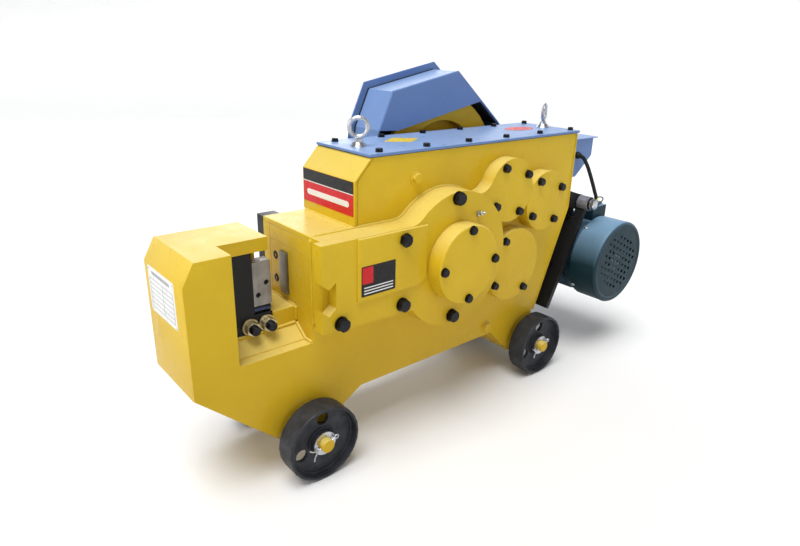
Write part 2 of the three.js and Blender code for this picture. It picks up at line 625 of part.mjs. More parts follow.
// Lifting eye: a forged ring on a round collar.
function eyebolt(x, turnDegrees) {
  const wire = 5;
  const ringR = 19;
  const sides = 10;
  const section = Array.from({ length: sides }, (_, i) => {
    const a = 2 * Math.PI * i / sides;
    return [ringR + wire * Math.cos(a), wire * Math.sin(a)];
  });
  const eye = ring(0, 0, section, 20).translate(0, 0, COVER_TOP + 38);
  const collar = new THREE.CylinderGeometry(11, 17, 9, 20)
    .rotateX(Math.PI / 2).translate(0, 0, COVER_TOP + GAP + 4.5);
  const neck = new THREE.CylinderGeometry(7, 9, 8, 12)
    .rotateX(Math.PI / 2).translate(0, 0, COVER_TOP + 11.5);
  return joined(eye, collar, neck)
    .rotateZ(THREE.MathUtils.degToRad(turnDegrees)).translate(x, BODY_DEPTH / 2, 0);
}
piece('lifting_eyebolt_left', eyebolt(424, -35), zincPlate);
piece('lifting_eyebolt_right', eyebolt(1036, 28), zincPlate);

// ---------------------------------------------------------------- shafts and gears

piece('input_shaft', joined(
  round(INPUT.x, INPUT.y, SHAFT_R, SHAFT_FRONT_Y, FLYWHEEL_Y[1] - 4, 24),
  prism(pinionOutline(INPUT_PAIR, INPUT), ...INPUT_PAIR.y),
), gearSteel);

piece('second_shaft', joined(
  round(SECOND.x, SECOND.y, SHAFT_R, SHAFT_FRONT_Y, SHAFT_REAR_Y, 20),
  prism(pinionOutline(MIDDLE_PAIR, SECOND), ...MIDDLE_PAIR.y),
), gearSteel);
piece('second_gear', prism(wheelOutline(INPUT_PAIR, SECOND, SHAFT_R + GAP), ...INPUT_PAIR.y, 10),
  gearSteel);

piece('third_shaft', joined(
  round(THIRD.x, THIRD.y, SHAFT_R, SHAFT_FRONT_Y, SHAFT_REAR_Y, 20),
  prism(pinionOutline(CRANK_PAIR, THIRD), ...CRANK_PAIR.y),
), gearSteel);
piece('third_gear', prism(wheelOutline(MIDDLE_PAIR, THIRD, SHAFT_R + GAP), ...MIDDLE_PAIR.y, 10),
  gearSteel);

// Front journal, web, offset pin and rear journal, each overlapping the next a little.
const WEB_R = 72;
const CRANK_WEB_Y = [32, 59];
const CRANK_PIN_Y = [CRANK_WEB_Y[1] - 1, 98];
piece('crankshaft', joined(
  round(CRANK.x, CRANK.y, CRANK_JOURNAL_R, COVER_Y[0] - 10, CRANK_WEB_Y[0] + 8, 28),
  round(CRANK.x, CRANK.y, WEB_R, ...CRANK_WEB_Y, 32),
  round(CRANK.x + THROW, CRANK.y, CRANK_PIN_R, ...CRANK_PIN_Y, 28),
  round(CRANK.x, CRANK.y, CRANK_JOURNAL_R, CRANK_PIN_Y[1] - 4, BODY_DEPTH, 28),
), machinedSteel);
piece('crank_gear', prism(wheelOutline(CRANK_PAIR, CRANK, CRANK_JOURNAL_R + GAP), ...CRANK_PAIR.y, 14),
  gearSteel);

function bush(y0, y1) {
  return ring(CRANK.x, CRANK.y, [
    [CRANK_JOURNAL_R + RUN, y0], [CRANK_BORE - GAP, y0], [CRANK_BORE - GAP, y1], [CRANK_JOURNAL_R + RUN, y1],
  ], 28);
}
piece('crank_bush_front', bush(COVER_Y[0] + 2, 24), bronze);
piece('crank_bush_rear', bush(BODY_DEPTH - SIDE_PLATE + 1, BODY_DEPTH - 1), bronze);

// ---------------------------------------------------------------- flywheel, belts, pulley

const grooveCentres = Array.from({ length: BELTS },
  (_, i) => (FLYWHEEL_Y[0] + FLYWHEEL_Y[1]) / 2 + (i - (BELTS - 1) / 2) * GROOVE_PITCH);

// Rim profile with straight-sided belt grooves, from low y to high y.
function groovedRim(r, y0, y1) {
  const points = [[r, y0]];
  grooveCentres.forEach((y) => points.push(
    [r, y - GROOVE_WIDTH / 2], [r - GROOVE_DEPTH, y - GROOVE_WIDTH / 2],
    [r - GROOVE_DEPTH, y + GROOVE_WIDTH / 2], [r, y + GROOVE_WIDTH / 2],
  ));
  return [...points, [r, y1]];
}

const RIM_INNER_R = 134;
const WEB_Y = [232, 250];
const HUB_R = 48;
const WEB_HOLE = { ring: 92, r: 27 };
piece('flywheel', cut(
  ring(INPUT.x, INPUT.y, [
    ...groovedRim(FLYWHEEL_R, ...FLYWHEEL_Y),
    [RIM_INNER_R, FLYWHEEL_Y[1]], [RIM_INNER_R, WEB_Y[1]], [HUB_R, WEB_Y[1]], [HUB_R, FLYWHEEL_Y[1]],
    [SHAFT_R + GAP, FLYWHEEL_Y[1]], [SHAFT_R + GAP, FLYWHEEL_Y[0]], [HUB_R, FLYWHEEL_Y[0]],
    [HUB_R, WEB_Y[0]], [RIM_INNER_R, WEB_Y[0]], [RIM_INNER_R, FLYWHEEL_Y[0]],
  ], 40),
  ...[45, 135, 225, 315].map((degrees) => {
    const a = THREE.MathUtils.degToRad(degrees);
    return round(INPUT.x + WEB_HOLE.ring * Math.cos(a), INPUT.y + WEB_HOLE.ring * Math.sin(a),
      WEB_HOLE.r, ...FLYWHEEL_Y, 16);
  }),
), yellowPaint);

const MOTOR_SHAFT_R = 14;
piece('motor_pulley', ring(MOTOR.x, MOTOR.y, [
  ...groovedRim(PULLEY_R, ...FLYWHEEL_Y),
  [MOTOR_SHAFT_R + GAP, FLYWHEEL_Y[1]], [MOTOR_SHAFT_R + GAP, FLYWHEEL_Y[0]],
], 28), castIron);

// One turn of belt round both pulleys, at a height above the groove bottoms.
function beltLoop(height, Kind) {
  const big = FLYWHEEL_R - GROOVE_DEPTH + height;
  const small = PULLEY_R - GROOVE_DEPTH + height;
  const across = new THREE.Vector2().subVectors(MOTOR, INPUT);
  const heading = Math.atan2(across.y, across.x);
  const spread = Math.acos((big - small) / across.length());
  const path = new Kind();
  path.absarc(INPUT.x, INPUT.y, big, heading + spread, heading + 2 * Math.PI - spread, false);
  path.absarc(MOTOR.x, MOTOR.y, small, heading - spread, heading + spread, false);
  path.closePath();
  return path;
}

grooveCentres.forEach((y, i) => {
  const shape = beltLoop(BELT_LIFT + BELT_HEIGHT, THREE.Shape);
  shape.holes.push(beltLoop(BELT_LIFT, THREE.Path));
  piece(`drive_belt_${i + 1}`, prism(shape, y - BELT_WIDTH / 2, y + BELT_WIDTH / 2, 14), beltRubber);
});

// ---------------------------------------------------------------- belt guard

const guardOutline = [
  [561, 649], [545, 510], [575, 400], [672, 318], [800, 288], [1225, 168], [1300, 205],
  [1316, 290], [1288, 352], [971, 648], [810, 778], [600, 735],
];
const GUARD_SHEET = 3;
const GUARD_Y = [195, 288];
const guardWall = polygon(guardOutline);
guardWall.holes.push(polygon(inset(guardOutline, GUARD_SHEET)));
piece('belt_guard_shell', joined(
  prism(guardWall, ...GUARD_Y),
  prism(polygon([[600, 735], [810, 778], [902, 703.8], [617, 646], [561, 649]]),
    GUARD_Y[0] - GUARD_SHEET, GUARD_Y[0] + 1),
), bluePaint);
piece('belt_guard_back', prism(polygon(inset(guardOutline, -18)), GUARD_Y[1] + GAP, GUARD_Y[1] + 3),
  bluePaint);

// ---------------------------------------------------------------- motor on its swing plate

const lean = THREE.MathUtils.degToRad(SWING_LEAN);
const plateAlong = new THREE.Vector2(-Math.sin(lean), -Math.cos(lean));    // down the plate
const plateOut = new THREE.Vector2(Math.cos(lean), -Math.sin(lean));       // towards the motor

// A point given along the swing plate from its pivot and out from its middle.
function onPlate(along, out) {
  return [PIVOT.x + along * plateAlong.x + out * plateOut.x,
    PIVOT.y + along * plateAlong.y + out * plateOut.y];
}

const KNUCKLE_R = 19;
const PIN_BOLT_R = 10;
const SWING_Y = [2, 168];
const EARS_Y = [[30, 42], [138, 150]];
const KNUCKLE_Y = [SWING_Y[0] - 8, SWING_Y[1] + 4];
const PIN_Y = [SWING_Y[0] - 12, SWING_Y[1] + 10];
const THROUGH_Y = [-20, 200];       // past both ends of the hinge
const EAR_SLOT = { half: 60, below: 42, above: 60 };

// Motor plate with hinge knuckles at its top edge, slotted for the bracket's two ears.
piece('motor_swing_plate', cut(
  joined(
    prism(polygon([
      onPlate(KNUCKLE_R - 6, -SWING_SHEET / 2), onPlate(SWING_LENGTH, -SWING_SHEET / 2),
      onPlate(SWING_LENGTH, SWING_SHEET / 2), onPlate(KNUCKLE_R - 6, SWING_SHEET / 2),
    ]), ...SWING_Y),
    round(PIVOT.x, PIVOT.y, KNUCKLE_R, ...KNUCKLE_Y, 24),
  ),
  round(PIVOT.x, PIVOT.y, PIN_BOLT_R + RUN, ...THROUGH_Y, 20),
  ...EARS_Y.map(([y0, y1]) => box(PIVOT.x - EAR_SLOT.half, PIVOT.x + EAR_SLOT.half, y0 - 1, y1 + 1,
    PIVOT.y - EAR_SLOT.below, PIVOT.y + EAR_SLOT.above)),
), blackPaint);

piece('motor_pivot_pin', round(PIVOT.x, PIVOT.y, PIN_BOLT_R, ...PIN_Y, 20), zincPlate);

const BRACKET = { z: [440, 482], y: [22, 158], sheet: 9, earR: 23 };
const earOutline = polygon([
  [END_X + GAP, BRACKET.z[0]], [PIVOT.x - 6, PIVOT.y - BRACKET.earR],
  [PIVOT.x + 14, PIVOT.y - 18], [PIVOT.x + BRACKET.earR, PIVOT.y], [PIVOT.x + 14, PIVOT.y + 18],
  [PIVOT.x - 6, PIVOT.y + BRACKET.earR], [END_X + GAP, BRACKET.z[1]],
]);
piece('motor_pivot_bracket', cut(
  joined(
    box(END_X + GAP, END_X + BRACKET.sheet, ...BRACKET.y, ...BRACKET.z),
    ...EARS_Y.map(([y0, y1]) => prism(earOutline, y0, y1)),
  ),
  round(PIVOT.x, PIVOT.y, PIN_BOLT_R + GAP, ...THROUGH_Y, 20),
), blackPaint);

// Motor barrel: an open shell with feet on the swing plate and a terminal box on top.
const HOUSING_Y = [-4, MOTOR_Y[1]];
const plateToMotor = new THREE.Vector2().subVectors(MOTOR, PIVOT);
const motorAlong = plateToMotor.dot(plateAlong);
const motorOut = plateToMotor.dot(plateOut);
const MOTOR_WALL = 14;
const FOOT_HALF = 88;
const FOOT_Y = [28, 150];
const FOOT_TAPER = { height: 14, inwards: 30, upTo: 70 };
const TERMINAL_BOX = { x: [1206, 1270], y: [6, 70], z: [MOTOR.y + 80, 412] };
piece('motor_housing', cut(
  joined(
    round(MOTOR.x, MOTOR.y, MOTOR_R, ...HOUSING_Y, 36),
    prism(polygon([
      onPlate(motorAlong - FOOT_HALF, SWING_SHEET / 2 + GAP),
      onPlate(motorAlong + FOOT_HALF, SWING_SHEET / 2 + GAP),
      onPlate(motorAlong + FOOT_HALF, SWING_SHEET / 2 + FOOT_TAPER.height),
      onPlate(motorAlong + FOOT_HALF - FOOT_TAPER.inwards, motorOut - FOOT_TAPER.upTo),
      onPlate(motorAlong - FOOT_HALF + FOOT_TAPER.inwards, motorOut - FOOT_TAPER.upTo),
      onPlate(motorAlong - FOOT_HALF, SWING_SHEET / 2 + FOOT_TAPER.height),
    ]), ...FOOT_Y),
    box(...TERMINAL_BOX.x, ...TERMINAL_BOX.y, ...TERMINAL_BOX.z),
  ),
  round(MOTOR.x, MOTOR.y, MOTOR_R - MOTOR_WALL, HOUSING_Y[0] - 5, HOUSING_Y[1] - MOTOR_WALL, 28),
  round(MOTOR.x, MOTOR.y, MOTOR_SHAFT_R + RUN, HOUSING_Y[1] - 2 * MOTOR_WALL, HOUSING_Y[1] + 5, 20),
), tealPaint);

// Fan cover: a cup over the motor's end, with rows of short air slots that lie square to
// the swing plate.
const fanFace = MOTOR_Y[0];
const GRILLE_R = 90;
const SLOT = { width: 14, height: 8, depth: 18, pitch: 21, rowPitch: 17 };
const GRILLE_ROWS = 9;
const GRILLE_COLUMNS = 7;

function fanSlots() {
  const slots = [];
  for (let row = 0; row < GRILLE_ROWS; row += 1) {
    const z = (row - (GRILLE_ROWS - 1) / 2) * SLOT.rowPitch;
    const stagger = row % 2 ? SLOT.pitch / 2 : 0;
    for (let column = 0; column < GRILLE_COLUMNS + 1; column += 1) {
      const x = (column - GRILLE_COLUMNS / 2) * SLOT.pitch + stagger;
      const reach = Math.hypot(Math.abs(x) + SLOT.width / 2, Math.abs(z) + SLOT.height / 2);
      if (reach < GRILLE_R) {
        const slot = new THREE.BoxGeometry(SLOT.width, SLOT.depth, SLOT.height).translate(x, 0, z);
        slots.push(slot.rotateY(lean).translate(MOTOR.x, fanFace, MOTOR.y));
      }
    }
  }
  return slots;
}
// The cup's section: flat face, rolled edge, barrel, and a neck clamped round the motor.
const FAN_SHEET = 3;
const NECK_Y = [5, 24];
piece('motor_fan_cover', cut(
  ring(MOTOR.x, MOTOR.y, [
    [4, fanFace], [FAN_COVER_R - 7, fanFace], [FAN_COVER_R, fanFace + 6], [FAN_COVER_R, -4],
    [MOTOR_R + FAN_SHEET, NECK_Y[0]], [MOTOR_R + FAN_SHEET, NECK_Y[1]],
    [MOTOR_R + GAP, NECK_Y[1]], [MOTOR_R + GAP, NECK_Y[0] - 2],
    [FAN_COVER_R - FAN_SHEET, -6], [FAN_COVER_R - FAN_SHEET, fanFace + 8],
    [FAN_COVER_R - 9, fanFace + FAN_SHEET], [4, fanFace + FAN_SHEET],
  ], 36),
  ...fanSlots(),
  box(TERMINAL_BOX.x[0] - 6, TERMINAL_BOX.x[1] + 6, TERMINAL_BOX.y[0] - 4, NECK_Y[1] + 6,
    MOTOR.y + 60, TERMINAL_BOX.z[1] + 8),
), tealPaint);

// Rotor: shaft, core and cooling fan, turning as one.
const FAN = { hubR: 30, r: 92, y: [fanFace + 16, fanFace + 34] };
const CORE = { r: 60, y: [20, 150] };
piece('motor_rotor', turned(MOTOR.x, MOTOR.y, [
  [0, fanFace + 8], [FAN.hubR, fanFace + 8], [FAN.hubR, FAN.y[0]], [FAN.r, FAN.y[0]],
  [FAN.r, FAN.y[1]], [MOTOR_SHAFT_R, FAN.y[1]],
  [MOTOR_SHAFT_R, CORE.y[0]], [CORE.r, CORE.y[0]], [CORE.r, CORE.y[1]], [MOTOR_SHAFT_R, CORE.y[1]],
  [MOTOR_SHAFT_R, FLYWHEEL_Y[1] - 3], [0, FLYWHEEL_Y[1] - 3],
], 24), gearSteel);

// ---------------------------------------------------------------- switch box and cable

const SWITCH_Y = [64, BODY_DEPTH];
const BOX_SHEET = 3;
const BOX_RIGHT = 1246;
const BOX_Z = { top: 600, wall: 500, knee: 494, right: 550 };
const KNEE_X = 1178;
const switchOutline = [
  [END_X + GAP, BOX_Z.top], [END_X + GAP, BOX_Z.wall], [KNEE_X, BOX_Z.knee],
  [BOX_RIGHT, BOX_Z.right], [BOX_RIGHT, BOX_Z.top],
];
const switchHollow = [
  [END_X - 5, BOX_Z.top - BOX_SHEET], [END_X - 5, BOX_Z.wall + BOX_SHEET],
  [KNEE_X - 1, BOX_Z.knee + BOX_SHEET], [BOX_RIGHT - BOX_SHEET, BOX_Z.right + 1.5],
  [BOX_RIGHT - BOX_SHEET, BOX_Z.top - BOX_SHEET],
];
const BUTTON_Z = 576;
const BUTTONS = {
  start_button: { y: 102, finish: greenPlastic },
  stop_button: { y: 142, finish: redPlastic },
};
const BUTTON_TRAVEL = 4;
const STEM_R = 8;
const BUTTON_R = 12;
const BUTTON_X = [BOX_RIGHT + BUTTON_TRAVEL + 0.6, BOX_RIGHT + 13];

piece('switch_box', cut(
  prism(polygon(switchOutline), ...SWITCH_Y),
  prism(polygon(switchHollow), SWITCH_Y[0] + BOX_SHEET, SWITCH_Y[1] - BOX_SHEET),
  ...Object.values(BUTTONS).map(({ y }) => roundX(y, BUTTON_Z, STEM_R + GAP,
    BOX_RIGHT - 10, BOX_RIGHT + 5)),
), bluePaint);

Object.entries(BUTTONS).forEach(([name, button]) => piece(name, joined(
  roundX(button.y, BUTTON_Z, STEM_R, BOX_RIGHT - 12, BOX_RIGHT + 6, 16),
  roundX(button.y, BUTTON_Z, BUTTON_R, ...BUTTON_X, 20),
), button.finish));

// Motor lead: from the switch box's front wall, hanging over into the terminal box.
const CABLE_R = 5.5;
const cableRoute = [
  [1174, 63.7, 556], [1174, 53, 556], [1177, 43, 550], [1184, 33, 530], [1194, 27, 506],
  [1205, 22, 480], [1215, 18, 456], [1224, 16, 438], [1227, 16, 424], [1227, 16, 412.4],
];

function tube(points, radius, sides, steps) {
  const section = new THREE.Shape();
  for (let i = 0; i <= sides; i += 1) {
    const a = 2 * Math.PI * i / sides;
    section[i ? 'lineTo' : 'moveTo'](radius * Math.cos(a), radius * Math.sin(a));
  }
  const path = new THREE.CatmullRomCurve3(points.map((p) => new THREE.Vector3(...p)));
  return new THREE.ExtrudeGeometry(section, { steps, extrudePath: path, bevelEnabled: false });
}
piece('motor_cable', geometryOf(solid(tube(cableRoute, CABLE_R, 8, 16))), cableSheath);

// ---------------------------------------------------------------- wheels

const AXLE_END = WHEEL_GAP + WHEEL_WIDTH + 9;
[['front', FRONT_AXLE_X], ['rear', REAR_AXLE_X]].forEach(([name, x]) => {
  piece(`${name}_axle`, round(x, WHEEL_R, AXLE_R, -AXLE_END, BODY_DEPTH + AXLE_END, 20), yellowPaint);
});

// Cast wheel, given by radius and distance out from the side plate.
const HUB = { r: 27, out: [1, 41] };
const WEB = { out: [22, 32], r: 73 };
const TREAD_CHAMFER = 2;
const wheelProfile = [
  [AXLE_R + RUN, HUB.out[0]], [HUB.r, HUB.out[0]], [HUB.r, WEB.out[0]], [WEB.r, WEB.out[0]],
  [WEB.r, 0], [WHEEL_R - TREAD_CHAMFER, 0], [WHEEL_R, TREAD_CHAMFER],
  [WHEEL_R, WHEEL_WIDTH - TREAD_CHAMFER], [WHEEL_R - TREAD_CHAMFER, WHEEL_WIDTH],
  [WEB.r + 2.5, WHEEL_WIDTH], [WEB.r, WEB.out[1]], [HUB.r, WEB.out[1] - 2],
  [HUB.r - 1, HUB.out[1]], [AXLE_R + RUN, HUB.out[1]],
];
const WHEEL_HOLES = { at: [86, 200], ring: 50, r: 13.5, middle: 26 };

function wheel(x, outwards) {
  const y = outwards < 0 ? -WHEEL_GAP : BODY_DEPTH + WHEEL_GAP;
  const profile = wheelProfile.map(([r, out]) => [r, y + outwards * out]);
  return cut(
    ring(x, WHEEL_R, outwards < 0 ? profile.reverse() : profile, 24),
    ...WHEEL_HOLES.at.map((degrees) => {
      const a = THREE.MathUtils.degToRad(degrees);
      const web = y + outwards * WHEEL_HOLES.middle;
      return round(x + WHEEL_HOLES.ring * Math.cos(a), WHEEL_R + WHEEL_HOLES.ring * Math.sin(a),
        WHEEL_HOLES.r, web - WHEEL_HOLES.middle, web + WHEEL_HOLES.middle, 12);
    }),
  );
}
piece('wheel_front_left', wheel(FRONT_AXLE_X, -1), castIron);
piece('wheel_front_right', wheel(FRONT_AXLE_X, 1), castIron);
piece('wheel_rear_left', wheel(REAR_AXLE_X, -1), castIron);
piece('wheel_rear_right', wheel(REAR_AXLE_X, 1), castIron);

// ---------------------------------------------------------------- centred on its footprint

const extent = new THREE.Box3().setFromObject(machine);
const middle = extent.getCenter(new THREE.Vector3());
machine.position.set(-middle.x, -middle.y, -extent.min.z);

const rebarCutter = new THREE.Group();
rebarCutter.add(machine);

export default rebarCutter;
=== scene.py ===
"""Looks of the rebar cutter: enamel, castings, bolts, welds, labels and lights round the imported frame.

Places are given in the machine's working axes, in millimetres: x from the head's end face,
y from the front side plate's outer face, z from the ground. at() turns them into the frame's metres.
"""

import json
import math

import bmesh
import bpy
from mathutils import Matrix, Vector


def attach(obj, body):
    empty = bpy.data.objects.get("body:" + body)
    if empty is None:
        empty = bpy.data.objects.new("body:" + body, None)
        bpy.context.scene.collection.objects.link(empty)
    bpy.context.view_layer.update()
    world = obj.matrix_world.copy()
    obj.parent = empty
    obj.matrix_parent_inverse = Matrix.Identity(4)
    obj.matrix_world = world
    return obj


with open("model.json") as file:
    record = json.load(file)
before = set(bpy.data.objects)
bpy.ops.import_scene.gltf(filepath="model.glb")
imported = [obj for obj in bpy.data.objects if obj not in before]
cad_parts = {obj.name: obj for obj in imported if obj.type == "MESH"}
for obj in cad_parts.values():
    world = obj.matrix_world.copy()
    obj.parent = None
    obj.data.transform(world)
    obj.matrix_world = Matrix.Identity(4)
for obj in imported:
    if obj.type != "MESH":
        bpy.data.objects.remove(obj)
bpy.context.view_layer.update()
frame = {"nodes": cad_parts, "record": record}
NODES = frame["nodes"]

MM = 0.001
FOOTPRINT_CENTRE = Vector((671.0, 95.5, 0.0))
BODY = "machine_body"

# Places shared with the frame, in machine millimetres.
CRANK = (580.0, 402.0)
INPUT = (776.67, 525.42)
SECOND = (914.73, 481.09)
THIRD = (810.31, 334.48)
MOTOR = (1223.0, 266.0)
PIVOT = (1165.0, 430.0)
LEAN = math.radians(25.5)
PLATE_HALF = 7.0
AXLES_X = (232.0, 930.0)
WHEEL_R = 81.7
COVER_FACE_Y = -60.0
CAP_FACE_Y = -35.0
END_CAP_FACE_Y = -100.0
COVER_TOP_Z = 640.0
BODY_DEPTH = 180.0


def at(x, y, z):
    return (Vector((x, y, z)) - FOOTPRINT_CENTRE) * MM


# ------------------------------------------------------------------ materials


class Look:
    """One procedural material, built up from object-space textures."""

    def __init__(self, name, color, roughness, metallic=0.0):
        self.material = bpy.data.materials.new(name)
        self.material.use_nodes = True
        self.tree = self.material.node_tree
        self.bsdf = self.tree.nodes["Principled BSDF"]
        self.color = (*color, 1.0)
        self.bsdf.inputs["Base Color"].default_value = self.color
        self.bsdf.inputs["Roughness"].default_value = roughness
        self.bsdf.inputs["Metallic"].default_value = metallic
        source = self.tree.nodes.new("ShaderNodeTexCoord")
        self.coords = source.outputs["Object"]
        self.facing = source.outputs["Normal"]
        self.normal = None

    def link(self, source, target):
        self.tree.links.new(source, target)

    def noise(self, scale, detail=3.0, stretch=(1, 1, 1)):
        mapping = self.tree.nodes.new("ShaderNodeMapping")
        mapping.inputs["Scale"].default_value = stretch
        texture = self.tree.nodes.new("ShaderNodeTexNoise")
        texture.inputs["Scale"].default_value = scale
        texture.inputs["Detail"].default_value = detail
        self.link(self.coords, mapping.inputs["Vector"])
        self.link(mapping.outputs["Vector"], texture.inputs["Vector"])
        return texture.outputs["Fac"]

    def ramp(self, value, stops):
        """stops: (position, grey or colour) pairs."""
        node = self.tree.nodes.new("ShaderNodeValToRGB")
        elements = node.color_ramp.elements
        while len(elements) < len(stops):
            elements.new(0.5)
        for element, (position, tone) in zip(elements, stops):
            element.position = position
            element.color = (tone, tone, tone, 1.0) if isinstance(tone, float) else (*tone, 1.0)
        self.link(value, node.inputs["Fac"])
        return node.outputs["Color"]

    def product(self, a, b):
        node = self.tree.nodes.new("ShaderNodeMath")
        node.operation = "MULTIPLY"
        self.link(a, node.inputs[0])
        self.link(b, node.inputs[1])
        return node.outputs["Value"]

    def blend(self, factor, base, tint):
        """Lays a plain colour over what base gives, as strongly as factor says."""
        node = self.tree.nodes.new("ShaderNodeMix")
        node.data_type = "RGBA"
        under, over = [socket for socket in node.inputs if socket.type == "RGBA"]
        self.link(factor, node.inputs["Factor"])
        self.link(base, under)
        over.default_value = (*tint, 1.0)
        return [socket for socket in node.outputs if socket.type == "RGBA"][0]

    def paint(self, color):
        self.link(color, self.bsdf.inputs["Base Color"])

    def roughen(self, value):
        self.link(value, self.bsdf.inputs["Roughness"])

    def bump(self, height, strength, distance_mm):
        node = self.tree.nodes.new("ShaderNodeBump")
        node.inputs["Strength"].default_value = strength
        node.inputs["Distance"].default_value = distance_mm * MM
        self.link(height, node.inputs["Height"])
        if self.normal is not None:
            self.link(self.normal, node.inputs["Normal"])
        self.normal = node.outputs["Normal"]
        self.link(self.normal, self.bsdf.inputs["Normal"])

    def upwards(self, vector):
        node = self.tree.nodes.new("ShaderNodeSeparateXYZ")
        self.link(vector, node.inputs["Vector"])
        return node.outputs["Z"]

    def height(self):
        return self.upwards(self.coords)

    def skyward(self):
        """How far the surface faces up."""
        return self.upwards(self.facing)


def shade(color, factor):
    return tuple(min(1.0, c * factor) for c in color)


DUST = (0.42, 0.36, 0.28)
# How much of red, green and blue is left in the paint at the bottom of the machine, where it is darkened
# as painted shade.
LOW_PAINTED_SHADE = (0.84, 0.77, 0.6)


def enamel(name, color, lit_top_color, roughness=0.3, lit_top_from=0.25, specular=0.14):
    """Sprayed gloss enamel with orange peel and a drifting colour.

    It is darkened towards the bottom of the machine as painted shade and gathers dust near the ground,
    and faces that look up are lightened as a painted highlight.
    """
    look = Look(name, color, roughness)
    drift = look.ramp(look.noise(5.0, 4.0), [(0.3, shade(color, 0.88)), (0.7, shade(color, 1.06))])
    # Painted shade: the paint darkens towards the bottom of the machine.
    painted_shade_low = look.ramp(look.height(), [(0.12, 0.85), (0.52, 0.0)])
    with_painted_shade = look.blend(painted_shade_low, drift, tuple(c * d for c, d in zip(color, LOW_PAINTED_SHADE)))
    blotches = look.ramp(look.noise(60.0, 5.0), [(0.5, 0.0), (0.85, 0.12)])
    mottled = look.blend(blotches, with_painted_shade, shade(color, 0.82))
    # Painted highlight: faces that look up are mixed, in patches, towards the paint's lighter third
    # colour.
    lit_top_mask = look.ramp(look.skyward(), [(lit_top_from, 0.0), (0.8, 1.0)])
    lit_top_patches = look.ramp(look.noise(9.0, 3.0), [(0.3, 0.75), (0.7, 1.0)])
    with_lit_tops = look.blend(look.product(lit_top_mask, lit_top_patches), mottled, lit_top_color)
    near_ground = look.ramp(look.height(), [(0.0, 0.22), (0.22, 0.0)])
    specks = look.ramp(look.noise(420.0, 2.0), [(0.5, 0.0), (0.72, 1.0)])
    look.paint(look.blend(look.product(near_ground, specks), with_lit_tops, DUST))
    look.roughen(look.ramp(look.noise(28.0, 4.0), [(0.3, roughness - 0.08), (0.75, roughness + 0.14)]))
    look.bump(look.noise(300.0, 2.0), 0.10, 0.5)
    look.bump(look.noise(16.0, 2.0), 0.18, 2.0)
    look.bsdf.inputs["Specular IOR Level"].default_value = specular
    look.bsdf.inputs["Coat Weight"].default_value = 0.06
    look.bsdf.inputs["Coat Roughness"].default_value = 0.12
    return look.material


def casting(name, color, roughness=0.55, metallic=0.1):
    """Sand-cast surface under thin paint."""
    look = Look(name, color, roughness, metallic)
    look.paint(look.ramp(look.noise(40.0, 6.0), [(0.3, shade(color, 0.6)), (0.75, shade(color, 1.5))]))
    look.roughen(look.ramp(look.noise(90.0, 4.0), [(0.3, roughness - 0.15), (0.75, roughness + 0.15)]))
    look.bump(look.noise(700.0, 3.0), 0.35, 0.5)
    look.bump(look.noise(90.0, 3.0), 0.25, 0.8)
    look.bsdf.inputs["Specular IOR Level"].default_value = 0.3
    return look.material


def metal(name, color, roughness=0.3, along=(1, 1, 1), stain=0.7, strength=0.12):
    """Bare or plated metal with directional tool marks; along is small on the axis the marks follow."""
    look = Look(name, color, roughness, 1.0)
    look.paint(look.ramp(look.noise(30.0, 5.0), [(0.25, shade(color, stain)), (0.7, color)]))
    marks = look.noise(160.0, 4.0, along)
    look.roughen(look.ramp(marks, [(0.3, roughness - 0.1), (0.75, roughness + 0.2)]))
    look.bump(look.noise(900.0, 2.0, along), strength, 0.2)
    return look.material


def moulded(name, color, roughness=0.4):
    """Plastic or rubber with a fine grain."""
    look = Look(name, color, roughness)
    look.paint(look.ramp(look.noise(50.0, 3.0), [(0.3, shade(color, 0.8)), (0.75, shade(color, 1.15))]))
    look.roughen(look.ramp(look.noise(220.0, 3.0), [(0.3, roughness - 0.08), (0.75, roughness + 0.12)]))
    look.bump(look.noise(1200.0, 2.0), 0.12, 0.15)
    look.bsdf.inputs["Specular IOR Level"].default_value = 0.25
    return look.material


def printed(name, color, roughness=0.3):
    """Smooth printed film."""
    look = Look(name, color, roughness)
    look.paint(look.ramp(look.noise(14.0, 2.0), [(0.3, shade(color, 0.93)), (0.7, shade(color, 1.04))]))
    look.roughen(look.ramp(look.noise(60.0, 2.0), [(0.3, roughness - 0.05), (0.75, roughness + 0.08)]))
    look.bump(look.noise(120.0, 2.0), 0.05, 0.1)
    look.bsdf.inputs["Specular IOR Level"].default_value = 0.25
    return look.material


def threaded(name, color, pitch_mm, roughness=0.32):
    """Plated metal with thread ridges that run round the Y axis."""
    look = Look(name, color, roughness, 1.0)
    look.paint(look.ramp(look.noise(120.0, 4.0), [(0.3, shade(color, 0.62)), (0.7, color)]))
    wave = look.tree.nodes.new("ShaderNodeTexWave")
    wave.bands_direction = "Y"
    wave.inputs["Scale"].default_value = math.pi / (10.0 * pitch_mm * MM)
    look.link(look.coords, wave.inputs["Vector"])
    look.bump(wave.outputs["Fac"], 0.5, 0.6)
    return look.material


# Each paint's third colour is its painted highlight on faces that look up; the flywheel's is its own
# colour, so it gets none.
YELLOW = enamel("yellow_enamel", (0.70, 0.475, 0.02), (0.71, 0.55, 0.145))
WARM_YELLOW = enamel("flywheel_enamel", (0.66, 0.42, 0.02), (0.66, 0.42, 0.02))
BLUE = enamel("blue_enamel", (0.145, 0.245, 0.50), (0.25, 0.37, 0.62), 0.34)
